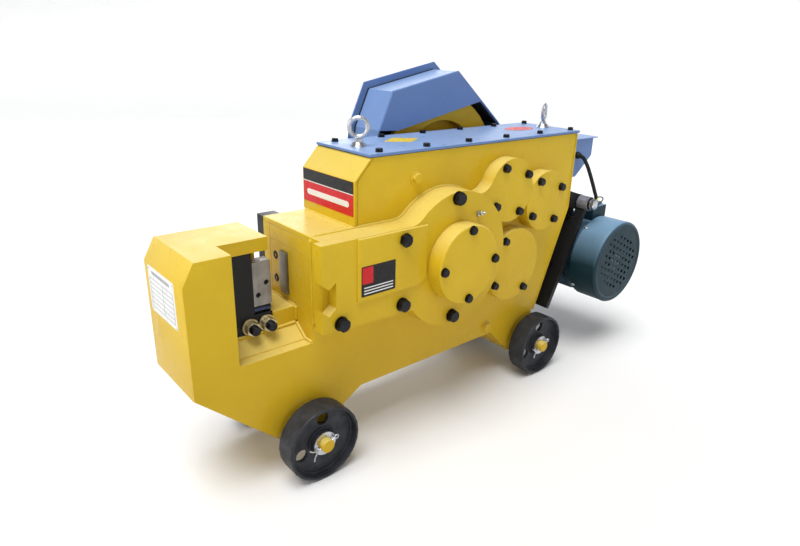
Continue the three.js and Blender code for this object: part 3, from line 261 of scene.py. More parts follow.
# The motor's painted highlight starts on faces that barely look up, so nearly all of its upper half is
# painted lighter.
TEAL = enamel("teal_enamel", (0.014, 0.044, 0.066), (0.18, 0.31, 0.45), 0.34,
              lit_top_from=0.05, specular=0.08)
BLACK = enamel("black_enamel", (0.016, 0.017, 0.019), (0.024, 0.025, 0.027), 0.38)
CAST = casting("black_cast_iron", (0.028, 0.030, 0.036))
GREY_CAST = casting("grey_cast_iron", (0.09, 0.09, 0.095), 0.6, 0.5)
BARE_TUBE = casting("bare_tube_steel", (0.30, 0.30, 0.34), 0.4, 0.4)
OXIDE = metal("black_oxide_steel", (0.035, 0.036, 0.042), 0.42, stain=0.6)
STEEL = metal("ground_steel", (0.50, 0.51, 0.53), 0.3, (1, 1, 0.06))
BLADE = metal("worn_blade_steel", (0.36, 0.35, 0.34), 0.42, (1, 1, 0.1), stain=0.45, strength=0.3)
BLUED = metal("blued_steel", (0.06, 0.08, 0.17), 0.3, (0.05, 1, 1), stain=0.5)
GEAR = metal("oiled_gear_steel", (0.25, 0.25, 0.26), 0.33, (1, 0.08, 1), stain=0.5)
ZINC = metal("zinc_plate", (0.60, 0.62, 0.66), 0.28, stain=0.75)
GOLD_ZINC = threaded("yellow_zinc_thread", (0.62, 0.54, 0.33), 2.0)
BRONZE = metal("turned_bronze", (0.55, 0.33, 0.13), 0.35, (1, 0.05, 1))
RUBBER = moulded("belt_rubber", (0.018, 0.018, 0.019), 0.7)
SHEATH = moulded("cable_sheath", (0.014, 0.014, 0.015), 0.45)
GREEN = moulded("green_button", (0.02, 0.27, 0.07), 0.3)
RED = moulded("red_button", (0.52, 0.012, 0.012), 0.3)
NYLON = moulded("gland_nylon", (0.02, 0.02, 0.022), 0.5)
EARTH_WIRE = moulded("earth_wire", (0.45, 0.55, 0.03), 0.4)
BROWN_WIRE = moulded("brown_wire", (0.16, 0.06, 0.03), 0.4)
LABEL_RED = printed("label_red", (0.62, 0.012, 0.018), 0.25)
LABEL_BLACK = printed("label_black", (0.012, 0.012, 0.012), 0.25)
LABEL_WHITE = printed("label_white", (0.82, 0.82, 0.80), 0.3)
LABEL_YELLOW = printed("label_yellow", (0.85, 0.62, 0.02), 0.28)
LABEL_GREY = printed("label_grey", (0.33, 0.34, 0.35), 0.35)
ALUMINIUM = metal("data_plate_aluminium", (0.62, 0.63, 0.64), 0.4, (0.05, 1, 1))

# ------------------------------------------------------------------ finishes on the CAD nodes

FINISH = {
    "yellow_paint": YELLOW, "blue_paint": BLUE, "teal_paint": TEAL, "black_paint": BLACK,
    "cast_iron": CAST, "machined_steel": STEEL, "zinc_plate": ZINC, "gear_steel": GEAR,
    "bronze": BRONZE, "belt_rubber": RUBBER, "cable_sheath": SHEATH,
    "green_plastic": GREEN, "red_plastic": RED,
}
SPECIAL_FINISH = {
    "fixed_blade": BLADE, "moving_blade": BLADE, "blade_adjusting_screw": BLUED,
    "blade_stud_1": GOLD_ZINC, "blade_stud_2": GOLD_ZINC, "connecting_rod": GREY_CAST,
    "motor_pulley": GREY_CAST, "flywheel": WARM_YELLOW, "ram": YELLOW, "ram_guide_upper": YELLOW,
}
# Edge radius in millimetres; toothed and hidden nodes keep their sharp edges.
EDGE_RADIUS = {
    "frame_side_front": 1.4, "frame_side_rear": 1.4, "head_block": 2.0, "throat_floor": 1.2,
    "belly_plate": 1.2, "nose_plate": 1.6, "end_plate": 1.2, "crank_boss": 3.0,
    "crank_cover_plate": 2.6, "crank_end_cap": 1.4, "input_bearing_cap": 1.6,
    "second_bearing_cap": 1.6, "third_bearing_cap": 1.6, "crank_rear_cap": 1.6,
    "top_cover": 1.0, "belt_guard_shell": 0.9, "belt_guard_back": 0.8, "flywheel": 1.6,
    "motor_housing": 1.6, "motor_fan_cover": 0.8, "motor_swing_plate": 1.6,
    "motor_pivot_bracket": 1.6, "motor_pivot_pin": 1.2, "switch_box": 1.2, "bar_guide": 2.0,
    "fixed_blade": 0.8, "moving_blade": 0.8, "fixed_blade_seat": 1.2, "ram": 1.2,
    "blade_stud_1": 0.6, "blade_stud_2": 0.6, "blade_adjusting_screw": 1.0,
    "front_axle": 1.8, "rear_axle": 1.8, "start_button": 1.0, "stop_button": 1.0,
    "wheel_front_left": 1.3, "wheel_front_right": 1.3, "wheel_rear_left": 1.3,
    "wheel_rear_right": 1.3, "ram_guide_upper": 0.8, "ram_guide_lower": 0.8,
}
# Turned, cast and rounded nodes, which are shaded smooth; sheet metal keeps its crisp folds.
ROUND_NODES = {
    "crank_boss", "crank_cover_plate", "crank_end_cap", "input_bearing_cap", "second_bearing_cap",
    "third_bearing_cap", "crank_rear_cap", "lifting_eyebolt_left", "lifting_eyebolt_right",
    "blade_stud_1", "blade_stud_2", "blade_adjusting_screw", "flywheel", "motor_pivot_pin",
    "motor_pivot_bracket", "motor_housing", "motor_fan_cover", "start_button", "stop_button",
    "motor_cable", "front_axle", "rear_axle", "wheel_front_left", "wheel_front_right",
    "wheel_rear_left", "wheel_rear_right", "motor_pulley", "motor_rotor", "input_shaft",
    "second_shaft", "third_shaft", "crankshaft", "wrist_pin", "drive_belt_1", "drive_belt_2",
}
BEVEL_ANGLE = math.radians(32)
SMOOTH_ANGLE = math.radians(28)
WELD_MM = 0.02


def smoothing_group():
    """Node group that shades faces smooth and keeps edges sharper than SMOOTH_ANGLE crisp."""
    group = bpy.data.node_groups.new("smooth_by_angle", "GeometryNodeTree")
    for way in ("INPUT", "OUTPUT"):
        group.interface.new_socket("Geometry", in_out=way, socket_type="NodeSocketGeometry")
    source, target = group.nodes.new("NodeGroupInput"), group.nodes.new("NodeGroupOutput")
    plain = group.nodes.new("GeometryNodeRemoveAttribute")
    plain.inputs["Name"].default_value = "custom_normal"
    faces, edges = (group.nodes.new("GeometryNodeSetShadeSmooth") for _ in range(2))
    edges.domain = "EDGE"
    angle = group.nodes.new("GeometryNodeInputMeshEdgeAngle")
    gentle = group.nodes.new("FunctionNodeCompare")
    gentle.operation = "LESS_THAN"
    gentle.inputs[1].default_value = SMOOTH_ANGLE
    for a, b in (
        (source.outputs[0], plain.inputs["Geometry"]),
        (plain.outputs["Geometry"], faces.inputs["Geometry"]),
        (faces.outputs["Geometry"], edges.inputs["Geometry"]),
        (angle.outputs["Unsigned Angle"], gentle.inputs[0]),
        (gentle.outputs["Result"], edges.inputs["Shade Smooth"]),
        (edges.outputs["Geometry"], target.inputs[0]),
    ):
        group.links.new(a, b)
    return group


SMOOTHING = smoothing_group()


def soften(obj, radius_mm):
    """Rounds a node's edges with modifiers, so that they catch light."""
    bevel = obj.modifiers.new("edge", "BEVEL")
    bevel.width = radius_mm * MM
    bevel.segments = 2
    bevel.limit_method = "ANGLE"
    bevel.angle_limit = BEVEL_ANGLE
    normals = obj.modifiers.new("normals", "WEIGHTED_NORMAL")
    normals.keep_sharp = True


for entry in frame["record"]["subparts"]:
    node = NODES[entry["node"]]
    finish = SPECIAL_FINISH.get(entry["node"], FINISH[entry["material_slot"]])
    for material_slot in node.material_slots:
        material_slot.material = finish
    node.modifiers.new("weld", "WELD").merge_threshold = WELD_MM * MM
    if entry["node"] in ROUND_NODES:
        node.modifiers.new("smooth", "NODES").node_group = SMOOTHING
    if entry["node"] in EDGE_RADIUS:
        soften(node, EDGE_RADIUS[entry["node"]])

# ------------------------------------------------------------------ mesh building


def basis(axis):
    """Two directions across an axis and the axis itself."""
    w = Vector(axis).normalized()
    up = Vector((0, 0, 1)) if abs(w.z) < 0.9 else Vector((0, 1, 0))
    u = up.cross(w).normalized()
    return u, w.cross(u), w


def spoke(u, v, angle):
    """The direction at an angle in the plane of u and v."""
    return u * math.cos(angle) + v * math.sin(angle)


def full_turn(count):
    """Evenly spaced angles round a circle."""
    return [2 * math.pi * i / count for i in range(count)]


AXIS_R = 0.01
MERGE_MM = 0.015


class Build:
    """Collects shapes given in machine millimetres into one object."""

    def __init__(self):
        self.bm = bmesh.new()

    def loft(self, rings, closed=False):
        """Joins rings of equal length and caps both ends, or with closed joins the last to the first."""
        rows = [[self.bm.verts.new(at(*p)) for p in ring] for ring in rings]
        pairs = list(zip(rows, rows[1:])) + ([(rows[-1], rows[0])] if closed else [])
        for a, b in pairs:
            for i in range(len(a)):
                j = (i + 1) % len(a)
                self.bm.faces.new((a[i], a[j], b[j], b[i]))
        if not closed:
            self.bm.faces.new(rows[0][::-1])
            self.bm.faces.new(rows[-1])

    def revolve(self, centre, axis, profile, segments=24, hollow=False):
        """Turns (radius, height) pairs about an axis; a hollow profile closes on itself."""
        u, v, w = basis(axis)
        self.loft([
            [Vector(centre) + spoke(u, v, a) * max(radius, AXIS_R) + w * height
             for a in full_turn(segments)]
            for radius, height in profile
        ], closed=hollow)

    def hex_head(self, centre, axis, flats, height, washer=0.0, turn=0.0):
        """A chamfered hexagon head, on a washer if one is asked for."""
        u, v, w = basis(axis)
        base = Vector(centre)
        if washer:
            washer_r = flats * 0.6
            self.revolve(centre, axis, [(washer_r, 0), (washer_r, washer), (washer_r / 2, washer)])
            base = base + w * washer
        corner = flats / math.sqrt(3)

        def ring(corner_r, flat_r, corner_h, flat_h):
            points = []
            for i in range(12):
                r, h = (corner_r, corner_h) if i % 2 == 0 else (flat_r, flat_h)
                points.append(base + spoke(u, v, turn + math.pi * i / 6) * r + w * h)
            return points

        flat = flats / 2
        self.loft([
            ring(corner, flat, 0, 0),
            ring(corner, flat, height * 0.78, height * 0.95),
            ring(flat * 0.94, flat * 0.94, height, height),
        ])

    def prism(self, outline, axis, centre, height, bevel=0.0):
        """An outline of (u, v) pairs across the axis, raised by height, with an optional top chamfer."""
        u, v, w = basis(axis)
        base = Vector(centre)
        middle = Vector((sum(p[0] for p in outline), sum(p[1] for p in outline))) / len(outline)

        def ring(inwards, h):
            points = []
            for a, b in outline:
                away = Vector((a, b)) - middle
                moved = middle + away * (1 - inwards / max(away.length, 1e-6))
                points.append(base + u * moved.x + v * moved.y + w * h)
            return points

        rings = [ring(0, 0), ring(0, height - bevel)]
        if bevel:
            rings.append(ring(bevel, height))
        self.loft(rings)

    def tube(self, points, radius, sides=8, ripple=0.0):
        """A swept rod; ripple swells and pinches it, as in a weld bead."""
        path = [Vector(p) for p in points]
        rings = []
        u = basis(path[1] - path[0])[0]
        for i, point in enumerate(path):
            w = (path[min(i + 1, len(path) - 1)] - path[max(i - 1, 0)]).normalized()
            u = (u - w * u.dot(w)).normalized()
            v = w.cross(u)
            r = radius * (1 + ripple * (1 if i % 2 else -1))
            if ripple and i in (0, len(path) - 1):
                r = radius * 0.4
            rings.append([point + spoke(u, v, a) * r for a in full_turn(sides)])
        self.loft(rings)

    def torus(self, centre, axis, ring_r, wire_r, segments, sides):
        u, v, w = basis(axis)
        rings = []
        for a in full_turn(segments):
            out = spoke(u, v, a)
            middle = Vector(centre) + out * ring_r
            rings.append([middle + spoke(out, w, b) * wire_r for b in full_turn(sides)])
        self.loft(rings, closed=True)

    def finish(self, name, material, body=BODY, smooth_degrees=38):
        bmesh.ops.remove_doubles(self.bm, verts=self.bm.verts, dist=MERGE_MM * MM)
        bmesh.ops.recalc_face_normals(self.bm, faces=self.bm.faces)
        mesh = bpy.data.meshes.new(name)
        for face in self.bm.faces:
            face.smooth = True
        self.bm.to_mesh(mesh)
        self.bm.free()
        mesh.set_sharp_from_angle(angle=math.radians(smooth_degrees))
        mesh.materials.append(material)
        obj = bpy.data.objects.new(name, mesh)
        bpy.context.scene.collection.objects.link(obj)
        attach(obj, body)
        return obj


FRONT = (0, -1, 0)
BACK = (0, 1, 0)
LEFT = (-1, 0, 0)
RIGHT = (1, 0, 0)
UP = (0, 0, 1)


def on_circle(centre, radius, degrees):
    """(x, z) pairs on a circle that lies across the Y axis, at these angles from the X axis."""
    return [(centre[0] + radius * math.cos(math.radians(d)),
             centre[1] + radius * math.sin(math.radians(d))) for d in degrees]


def rounded(width, height, radius, steps=5):
    """A rounded rectangle about the origin, as (u, v) pairs."""
    points = []
    for quarter, (sx, sy) in enumerate(((1, 1), (-1, 1), (-1, -1), (1, -1))):
        for i in range(steps + 1):
            a = math.pi / 2 * (quarter + i / steps)
            points.append((sx * (width / 2 - radius) + radius * math.cos(a),
                           sy * (height / 2 - radius) + radius * math.sin(a)))
    return points


def between(a, b, step_mm=2.6):
    """Evenly spaced points from a to b."""
    a, b = Vector(a), Vector(b)
    count = max(3, int((b - a).length / step_mm))
    return [a.lerp(b, i / count) for i in range(count + 1)]


# ------------------------------------------------------------------ bolts, plugs and nipple on the front

COVER_BOLTS = ((272, 338), (424, 338), (571, 273), (424, 478), (571, 541))
# Each cap's centre, the circle that its bolts lie on, and their angles.
CAP_BOLTS = (
    (INPUT, 62, (32, 118, 210, 300)),
    (SECOND, 62, (28, 122, 210, 305)),
    (THIRD, 80, (122, 210, 302)),
)
END_CAP_BOLT_R = 77
OIL_PLUGS = ((504, 581), (763, 166))

bolts = Build()
for x, z in COVER_BOLTS:
    bolts.hex_head((x, COVER_FACE_Y, z), FRONT, flats=25, height=13, washer=2.4, turn=0.3)
bolts.finish("crank_cover_bolts", OXIDE)

bolts = Build()
for centre, radius, degrees in CAP_BOLTS:
    for x, z in on_circle(centre, radius, degrees):
        bolts.hex_head((x, CAP_FACE_Y, z), FRONT, flats=17, height=9, washer=1.6, turn=0.6)
bolts.finish("bearing_cap_bolts", OXIDE)

bolts = Build()
for x, z in on_circle(CRANK, END_CAP_BOLT_R, (90, 180, 270, 0)):
    bolts.hex_head((x, END_CAP_FACE_Y, z), FRONT, flats=17, height=6.8, washer=1.2, turn=0.2)
bolts.finish("end_cap_bolts", OXIDE)

plugs = Build()
for x, z in OIL_PLUGS:
    plugs.revolve((x, 0, z), FRONT, [(15, 0), (15, 1.5), (12.5, 3)])
    plugs.hex_head((x, -3, z), FRONT, flats=20, height=8)
plugs.finish("oil_plugs", YELLOW)

nipple = Build()
nipple.revolve((636, COVER_FACE_Y, 497), (0.2, -1, 0.3), [
    (6, -1), (6, 4), (4, 5), (4, 8), (5.2, 10), (5.2, 12), (2.6, 15), (3.4, 17), (2.2, 20), (0, 20.6),
], segments=14)
nipple.finish("grease_nipple", ZINC)

# ------------------------------------------------------------------ pad, labels and data plate

FILM, PRINT = 0.5, 0.3
PAD_RISE = 4.5
PAD_Y = COVER_FACE_Y - PAD_RISE
PAD_OUTLINE = [(-88, -64), (70, -64), (88, -50), (88, 63), (-88, 63)]
NOSE_X = 346.0
NOSE_Y = 90.0
NOSE_WIDTH = 178.0


def plate_on(axis, centre, size, thickness, material, name, radius=2.0):
    """A thin plate with round corners; size is its width and height."""
    plate = Build()
    plate.prism(rounded(*size, radius), axis, centre, thickness, bevel=min(0.4, thickness / 2))
    return plate.finish(name, material)


pad = Build()
pad.prism(PAD_OUTLINE, FRONT, (398, COVER_FACE_Y, 436), PAD_RISE, bevel=1.8)
pad.finish("cover_raised_pad", YELLOW)
plate_on(FRONT, (359, PAD_Y, 412), (84, 62), FILM, LABEL_BLACK, "cover_label_black")
plate_on(FRONT, (332, PAD_Y - FILM, 424), (26, 34), PRINT, LABEL_RED, "cover_label_red", radius=0.8)
rows = Build()
for z in (399, 393, 387):
    rows.prism(rounded(72, 2.2, 0.8), FRONT, (359, PAD_Y - FILM, z), PRINT)
rows.finish("cover_label_lines", LABEL_WHITE)

plate_on(LEFT, (NOSE_X, NOSE_Y, 555.5), (NOSE_WIDTH, 69), FILM, LABEL_RED, "nose_label_red", radius=2.5)
plate_on(LEFT, (NOSE_X - FILM, NOSE_Y, 578), (NOSE_WIDTH, 24), PRINT, LABEL_BLACK, "nose_label_black",
         radius=1.5)
lines = Build()
lines.prism(rounded(NOSE_WIDTH, 1.8, 0.4), LEFT, (NOSE_X - FILM, NOSE_Y, 565), 0.4)
lines.prism(rounded(150, 12, 6), LEFT, (NOSE_X - FILM, NOSE_Y, 543), PRINT)
lines.finish("nose_label_bars", LABEL_WHITE)

# Data plate on the head's end face: plain ruled rows, with rivets at its corners.
DATA_Y, DATA_Z = 101.0, 408.0
DATA_SIZE = (124, 90)
DATA_X = -0.8
RULE, RULE_WIDTH, ROW_PITCH = 0.25, 1.1, 9.5
plate_on(LEFT, (0, DATA_Y, DATA_Z), DATA_SIZE, -DATA_X, LABEL_WHITE, "data_plate", radius=3.0)
rules = Build()
for i in range(7):
    z = DATA_Z + 22 - i * ROW_PITCH
    rules.prism(rounded(108, RULE_WIDTH, 0.3), LEFT, (DATA_X, DATA_Y, z), RULE)
for dy in (-54, -6, 54):
    rules.prism(rounded(RULE_WIDTH, 58, 0.3), LEFT, (DATA_X, DATA_Y + dy, DATA_Z - 6.5), RULE)
rules.prism(rounded(84, 6, 1.5), LEFT, (DATA_X, DATA_Y, DATA_Z + 34), RULE)
rules.finish("data_plate_rules", LABEL_GREY)
rivets = Build()
for dy in (-57, 57):
    for dz in (-40, 40):
        place = (DATA_X, DATA_Y + dy, DATA_Z + dz)
        rivets.revolve(place, LEFT, [(2.6, 0), (2.2, 1), (1.0, 1.6), (0, 1.7)], segments=12)
rivets.finish("data_plate_rivets", ZINC)

# ------------------------------------------------------------------ welds

PROUD_Y = -0.5
FAR_PROUD_Y = BODY_DEPTH + 0.5


def bead(paths, name, radius):
    """Weld beads along the paths."""
    weld = Build()
    for points in paths:
        weld.tube(points, radius, ripple=0.13)
    weld.finish(name, YELLOW, smooth_degrees=80)


def chain(*corners):
    """A path of closely spaced points through the corners."""
    points = []
    for a, b in zip(corners, corners[1:]):
        points += between(a, b)[:-1]
    return points + [Vector(corners[-1])]


bead([
    chain((90, 1, 280), (90, 26, 280), (90, 58, 303)),
    chain((245, 1, 281), (245, 26, 281), (245, 59, 305)),
    chain((245, 60, 308), (245, 60, 340)),
    chain((92, 59, 304), (194, 59, 304), (244, 59.5, 305)),
], "throat_welds", 4.0)
bead([
    chain((92, 25.5, 280.4), (244, 25.5, 280.4)),
    chain((194, 155, 340), (245, 155, 340)),
    chain((245.4, 62, 340.5), (245.4, 178, 340.5)),
    chain((193, 62, 340.5), (193, 116, 340.5)),
], "bar_rest_welds", 1.8)
bead([chain((346, 4, 500), (346, 176, 500))] + [
    chain((348, y, 502), (348, y, 590), (386, y, 632)) for y in (PROUD_Y, FAR_PROUD_Y)
], "nose_welds", 2.4)

# The head's joints are filled and ground flush: one thin skin of filler and paint runs over them.
HEAD_PATH = ((88.5, 157.3), (0, 239.7), (0, 456.4), (22.4, 496), (88.5, 496))
# Where each row of the skin lies and how far it stands off the steel: it feathers out at both edges.
FEATHER = ((1.7, 0.02), (7.0, 0.7), (BODY_DEPTH - 7.0, 0.7), (BODY_DEPTH - 1.7, 0.02))
SUNK = -0.6
# The roof's skin, from its foot up: first and last x, first and last y, z.
ROOF_SKIN = (
    (82, 188.6, 61.6, 178.3, 495.4), (82, 188.6, 61.6, 178.3, 496.02), (88, 184, 67, 173, 496.72),
)


def skin_row(y, lift):
    """The head's outline at one y, raised off the steel by lift."""
    row = []
    for i, (x, z) in enumerate(HEAD_PATH):
        before = HEAD_PATH[max(i - 1, 0)]
        after = HEAD_PATH[min(i + 1, len(HEAD_PATH) - 1)]
        run = Vector((after[0] - before[0], after[1] - before[1])).normalized()
        row.append((x - run.y * lift, y, z + run.x * lift))
    return row


skin = Build()
skin.loft([skin_row(y, lift) + skin_row(y, SUNK)[::-1] for y, lift in FEATHER])
skin.finish("head_filled_skin", YELLOW)
roof_skin = Build()
roof_skin.loft([
    [(x0, y0, z), (x1, y0, z), (x1, y1, z), (x0, y1, z)] for x0, x1, y0, y1, z in ROOF_SKIN
])
roof_skin.finish("head_roof_filled_skin", YELLOW)

bead([
    chain((1063, y, 630), (1063, y, 436), (957, y, 163)) for y in (PROUD_Y, FAR_PROUD_Y)
], "end_welds", 2.2)
BELLY = (
    (92, 156), (205, 50), (262, 50), (290, 94), (366, 140), (785, 140), (862, 69), (885, 50), (953, 50),
)
bead([chain(*[(x, y, z) for x, z in BELLY]) for y in (25, 155)], "belly_welds", 2.2)

# The crank boss's bead: round the boss, over the hollow blend, along the arm's top, and its other sides.
CRANK_SIDE_R, BLEND_R = 152.0, 46.0
ARM_X, ARM_TOP, ARM_FOOT = 250.0, 500.0, 316.0
BOSS_WELD_Y = -1.0


def arc_points(centre, radius, first, last, step=1.0):
    """Points round a circle at the side plate, from one angle in degrees to another."""
    count = max(2, int(abs(last - first) / step))
    degrees = [first + (last - first) * i / count for i in range(count + 1)]
    return [(x, BOSS_WELD_Y, z) for x, z in on_circle(centre, radius, degrees)]


blend_rise = ARM_TOP + BLEND_R - CRANK[1]
blend_angle = math.degrees(math.asin(blend_rise / (CRANK_SIDE_R + BLEND_R)))
blend_x = CRANK[0] - math.sqrt((CRANK_SIDE_R + BLEND_R) ** 2 - blend_rise ** 2)
bead([
    arc_points(CRANK, CRANK_SIDE_R, 214, 540 - blend_angle)
    + arc_points((blend_x, ARM_TOP + BLEND_R), BLEND_R, -blend_angle, -90, step=4.0)[1:]
    + chain((blend_x - 3, BOSS_WELD_Y, ARM_TOP), (ARM_X, BOSS_WELD_Y, ARM_TOP)),
    chain((ARM_X, BOSS_WELD_Y, ARM_FOOT), (452, BOSS_WELD_Y, ARM_FOOT)),
    chain((246, BOSS_WELD_Y, 320), (246, BOSS_WELD_Y, 496)),
], "crank_boss_welds", 3.4)

collars = Build()
for x in AXLES_X:
    for y in (PROUD_Y, FAR_PROUD_Y):
        collars.torus((x, y, WHEEL_R), BACK, ring_r=15.2, wire_r=3.0, segments=40, sides=8)
collars.finish("axle_collar_welds", YELLOW)

# ------------------------------------------------------------------ top cover

TOP_BOLT_X = [418 + 126.8 * k for k in range(6)]
STICKER = 0.4

bolts = Build()
for x in TOP_BOLT_X:
    for y in (14, 166):
        bolts.hex_head((x, y, COVER_TOP_Z), UP, flats=13, height=6, washer=1.2, turn=x)
bolts.finish("top_cover_bolts", OXIDE)

gasket = Build()
gasket.prism(rounded(685, 185, 2), UP, (726, 90, 633.0), 1.1)
gasket.finish("top_cover_gasket", RUBBER)

sticker = Build()
sticker.prism([(-50, 0), (0, -33), (50, 0), (0, 33)], UP, (556, 108, COVER_TOP_Z), STICKER)
sticker.finish("top_sticker_yellow", LABEL_YELLOW)
sticker = Build()
sticker.prism([(48 * math.cos(a), 27 * math.sin(a)) for a in full_turn(40)], UP,
              (950, 100, COVER_TOP_Z), STICKER)
sticker.finish("top_sticker_red", LABEL_RED)

# ------------------------------------------------------------------ throat, bar guide and rear cap

STUD_X, STUD_Z, STUD_END_Y, STUD_R, THREAD_PITCH = (143, 178), 323, 42.2, 9.5, 1.9

screws = Build()
for x, z in ((165, 383), (183, 406)):
    screws.revolve((x, 63, z), FRONT, [
        (4.6, 0), (4.6, 1), (2.6, 1.4), (2.4, -1.5), (0, -1.6),
    ], segments=18)
screws.finish("blade_screws", OXIDE)
tips = Build()
for x in STUD_X:
    tips.revolve((x, STUD_END_Y, STUD_Z), FRONT, [
        (STUD_R, 0), (STUD_R, 9.6), (8.6, 11.2), (0, 11.4),
    ], segments=20)
    for k in range(5):
        y = STUD_END_Y - 0.8 - THREAD_PITCH * k
        tips.torus((x, y, STUD_Z), FRONT, ring_r=STUD_R, wire_r=0.45, segments=20, sides=6)
tips.finish("stud_thread_ends", OXIDE)
screws = Build()
for z in (378, 428):
    screws.revolve((246, 134, z), LEFT, [
        (8.5, 0), (8.5, 0.8), (7.6, 1.4), (4.2, 1.4), (3.8, -2.0), (0, -2.1),
    ])
screws.finish("ram_end_screws", OXIDE, "ram_set")
bolts = Build()
for z in (355, 395, 440, 478):
    bolts.hex_head((260, BODY_DEPTH + 30, z), BACK, flats=13, height=7, washer=1.2)
bolts.finish("bar_guide_bolts", OXIDE)

REAR_CAP_BOLT_R, REAR_CAP_RISE = 66, 11
bolts = Build()
for x, z in on_circle(CRANK, REAR_CAP_BOLT_R, (45, 135, 225, 315)):
    bolts.hex_head((x, BODY_DEPTH + REAR_CAP_RISE, z), BACK, flats=13, height=7, washer=1.2)
bolts.finish("rear_cap_bolts", OXIDE)

# ------------------------------------------------------------------ wheels

WHEEL_BODIES = {
    ("front", -1): "wheel_fl", ("front", 1): "wheel_fr",
    ("rear", -1): "wheel_rl", ("rear", 1): "wheel_rr",
}
AXLE_X = dict(zip(("front", "rear"), AXLES_X))
WHEEL_GAP, WHEEL_WIDTH, HUB_OUT = 14.0, 48.5, 41.0
# Rounded edges on each wheel: ring radius, distance out from the inner face, bead radius, segments.
WHEEL_BEADS = (
    (77.2, WHEEL_WIDTH - 1.5, 1.6, 48), (78.0, 1.2, 1.6, 48),
    (29.0, 31.4, 2.4, 40), (71.5, 33.0, 2.6, 48),
)
WASHER = [(14.8, 0), (25.5, 0), (25.5, 2.6), (14.8, 2.6)]
# A split pin lies along this line; its two tips spread, given as (distance along, distance aside).
PIN_ALONG = Vector((math.cos(math.radians(200)), 0, math.sin(math.radians(200))))
PIN_ASIDE = Vector((-PIN_ALONG.z, 0, PIN_ALONG.x))
PIN_HEAD, PIN_OUT = 23, 7.5
PIN_TIP = ((19, 1.2), (26, 3), (33, 9), (37, 16))


def split_pin(centre, out, name):
    """A split pin through an axle end: its shank, two spread tips and the eye at its head."""
    pin = Build()
    head = centre - PIN_ALONG * PIN_HEAD
    pin.tube([head + PIN_ALONG * s for s in (0, 8, 20, 32, 40)], 2.2, sides=10)
    for way in (-1, 1):
        pin.tube([centre + PIN_ALONG * s + PIN_ASIDE * way * aside for s, aside in PIN_TIP], 1.5)
    pin.torus(head - PIN_ALONG * 3, out, ring_r=4.2, wire_r=1.5, segments=20, sides=8)
    pin.finish(name, ZINC)


for (place, side), wheel_body in WHEEL_BODIES.items():
    x = AXLE_X[place]
    face = -WHEEL_GAP if side < 0 else BODY_DEPTH + WHEEL_GAP
    out = (0, side, 0)
    name = f"{place}_{'left' if side < 0 else 'right'}"
    rim = Build()
    for ring_r, offset, wire_r, segments in WHEEL_BEADS:
        rim.torus((x, face + side * offset, WHEEL_R), out, ring_r, wire_r, segments, sides=8)
    rim.finish(f"wheel_rim_beads_{name}", CAST, wheel_body)

    washer = Build()
    hub = face + side * (HUB_OUT + 0.4)
    washer.revolve((x, hub, WHEEL_R), out, WASHER, segments=32, hollow=True)
    washer.finish(f"axle_washer_{name}", ZINC)
    split_pin(Vector((x, hub + side * PIN_OUT, WHEEL_R)), out, f"split_pin_{name}")

# ------------------------------------------------------------------ motor and swing plate

MOUNT = "motor_mount"
MOTOR_AXIS = Vector((MOTOR[0], 0, MOTOR[1]))
PIVOT_POINT = Vector((PIVOT[0], 0, PIVOT[1]))
down_plate = Vector((-math.sin(LEAN), 0, -math.cos(LEAN)))
off_plate = Vector((math.cos(LEAN), 0, -math.sin(LEAN)))
FIN_FOOT, FIN_TIP, FIN_COUNT = 104.5, 113.0, 48
FIN_FIRST_Y, FIN_LAST_Y, FIN_PAST_BOX_Y = 27.0, 176.0, 74.0
# No fins within this many degrees of the plate, and short ones by the terminal box on top.
PLATE_CLEAR, BOX_CLEAR = 42, 28


def on_motor_axis(y):
    return MOTOR_AXIS + Vector((0, y, 0))


def fin_section(angle, y, tip):
    """One cross-section of the fin at an angle round the motor."""
    radial = Vector((math.cos(angle), 0, math.sin(angle)))
    side = Vector((-radial.z, 0, radial.x))
    return [
        on_motor_axis(y) + radial * height + side * aside
        for height, aside in ((FIN_FOOT, -1.9), (tip, -1.1), (tip, 1.1), (FIN_FOOT, 1.9))
    ]


def apart(a, b):
    """The angle between two directions, in degrees."""
    return abs((a - b + 180) % 360 - 180)


fins = Build()
plate_angle = math.degrees(math.atan2(-off_plate.z, -off_plate.x))
for k in range(FIN_COUNT):
    degrees = k * 360 / FIN_COUNT
    if apart(degrees, plate_angle) < PLATE_CLEAR:
        continue
    first_y = FIN_PAST_BOX_Y if apart(degrees, 90) < BOX_CLEAR else FIN_FIRST_Y
    angle = math.radians(degrees)
    fins.loft([
        fin_section(angle, first_y, FIN_TIP - 3), fin_section(angle, first_y + 3, FIN_TIP),
        fin_section(angle, FIN_LAST_Y - 3, FIN_TIP), fin_section(angle, FIN_LAST_Y, FIN_TIP - 3),
    ])
fins.finish("motor_fins", TEAL, MOUNT)

flange = Build()
flange.revolve(on_motor_axis(178), BACK, [
    (104, 0), (111, 0), (112, 1.5), (112, 8), (110, 10), (104, 10),
], segments=48, hollow=True)
for x, z in on_circle(MOTOR, 84, (20, 110, 200, 290)):
    flange.hex_head((x, 186, z), BACK, flats=12, height=6, washer=1.0)
flange.revolve(on_motor_axis(186), BACK, [(34, 0), (34, 3), (30, 5), (18, 5)], segments=32)
flange.finish("motor_end_shield", TEAL, MOUNT)

FAN_COVER_R, FAN_SCREW_Y = 118.5, -9
screws = Build()
for degrees in (35, 125, 215, 305):
    a = math.radians(degrees)
    out = Vector((math.cos(a), 0, math.sin(a)))
    screws.revolve(on_motor_axis(FAN_SCREW_Y) + out * FAN_COVER_R, out, [
        (5.4, 0), (5.4, 1.4), (4.6, 2.6), (2.2, 3.1), (2.0, 2.0), (0, 2.0),
    ], segments=14)
screws.finish("fan_cover_screws", ZINC, MOUNT)

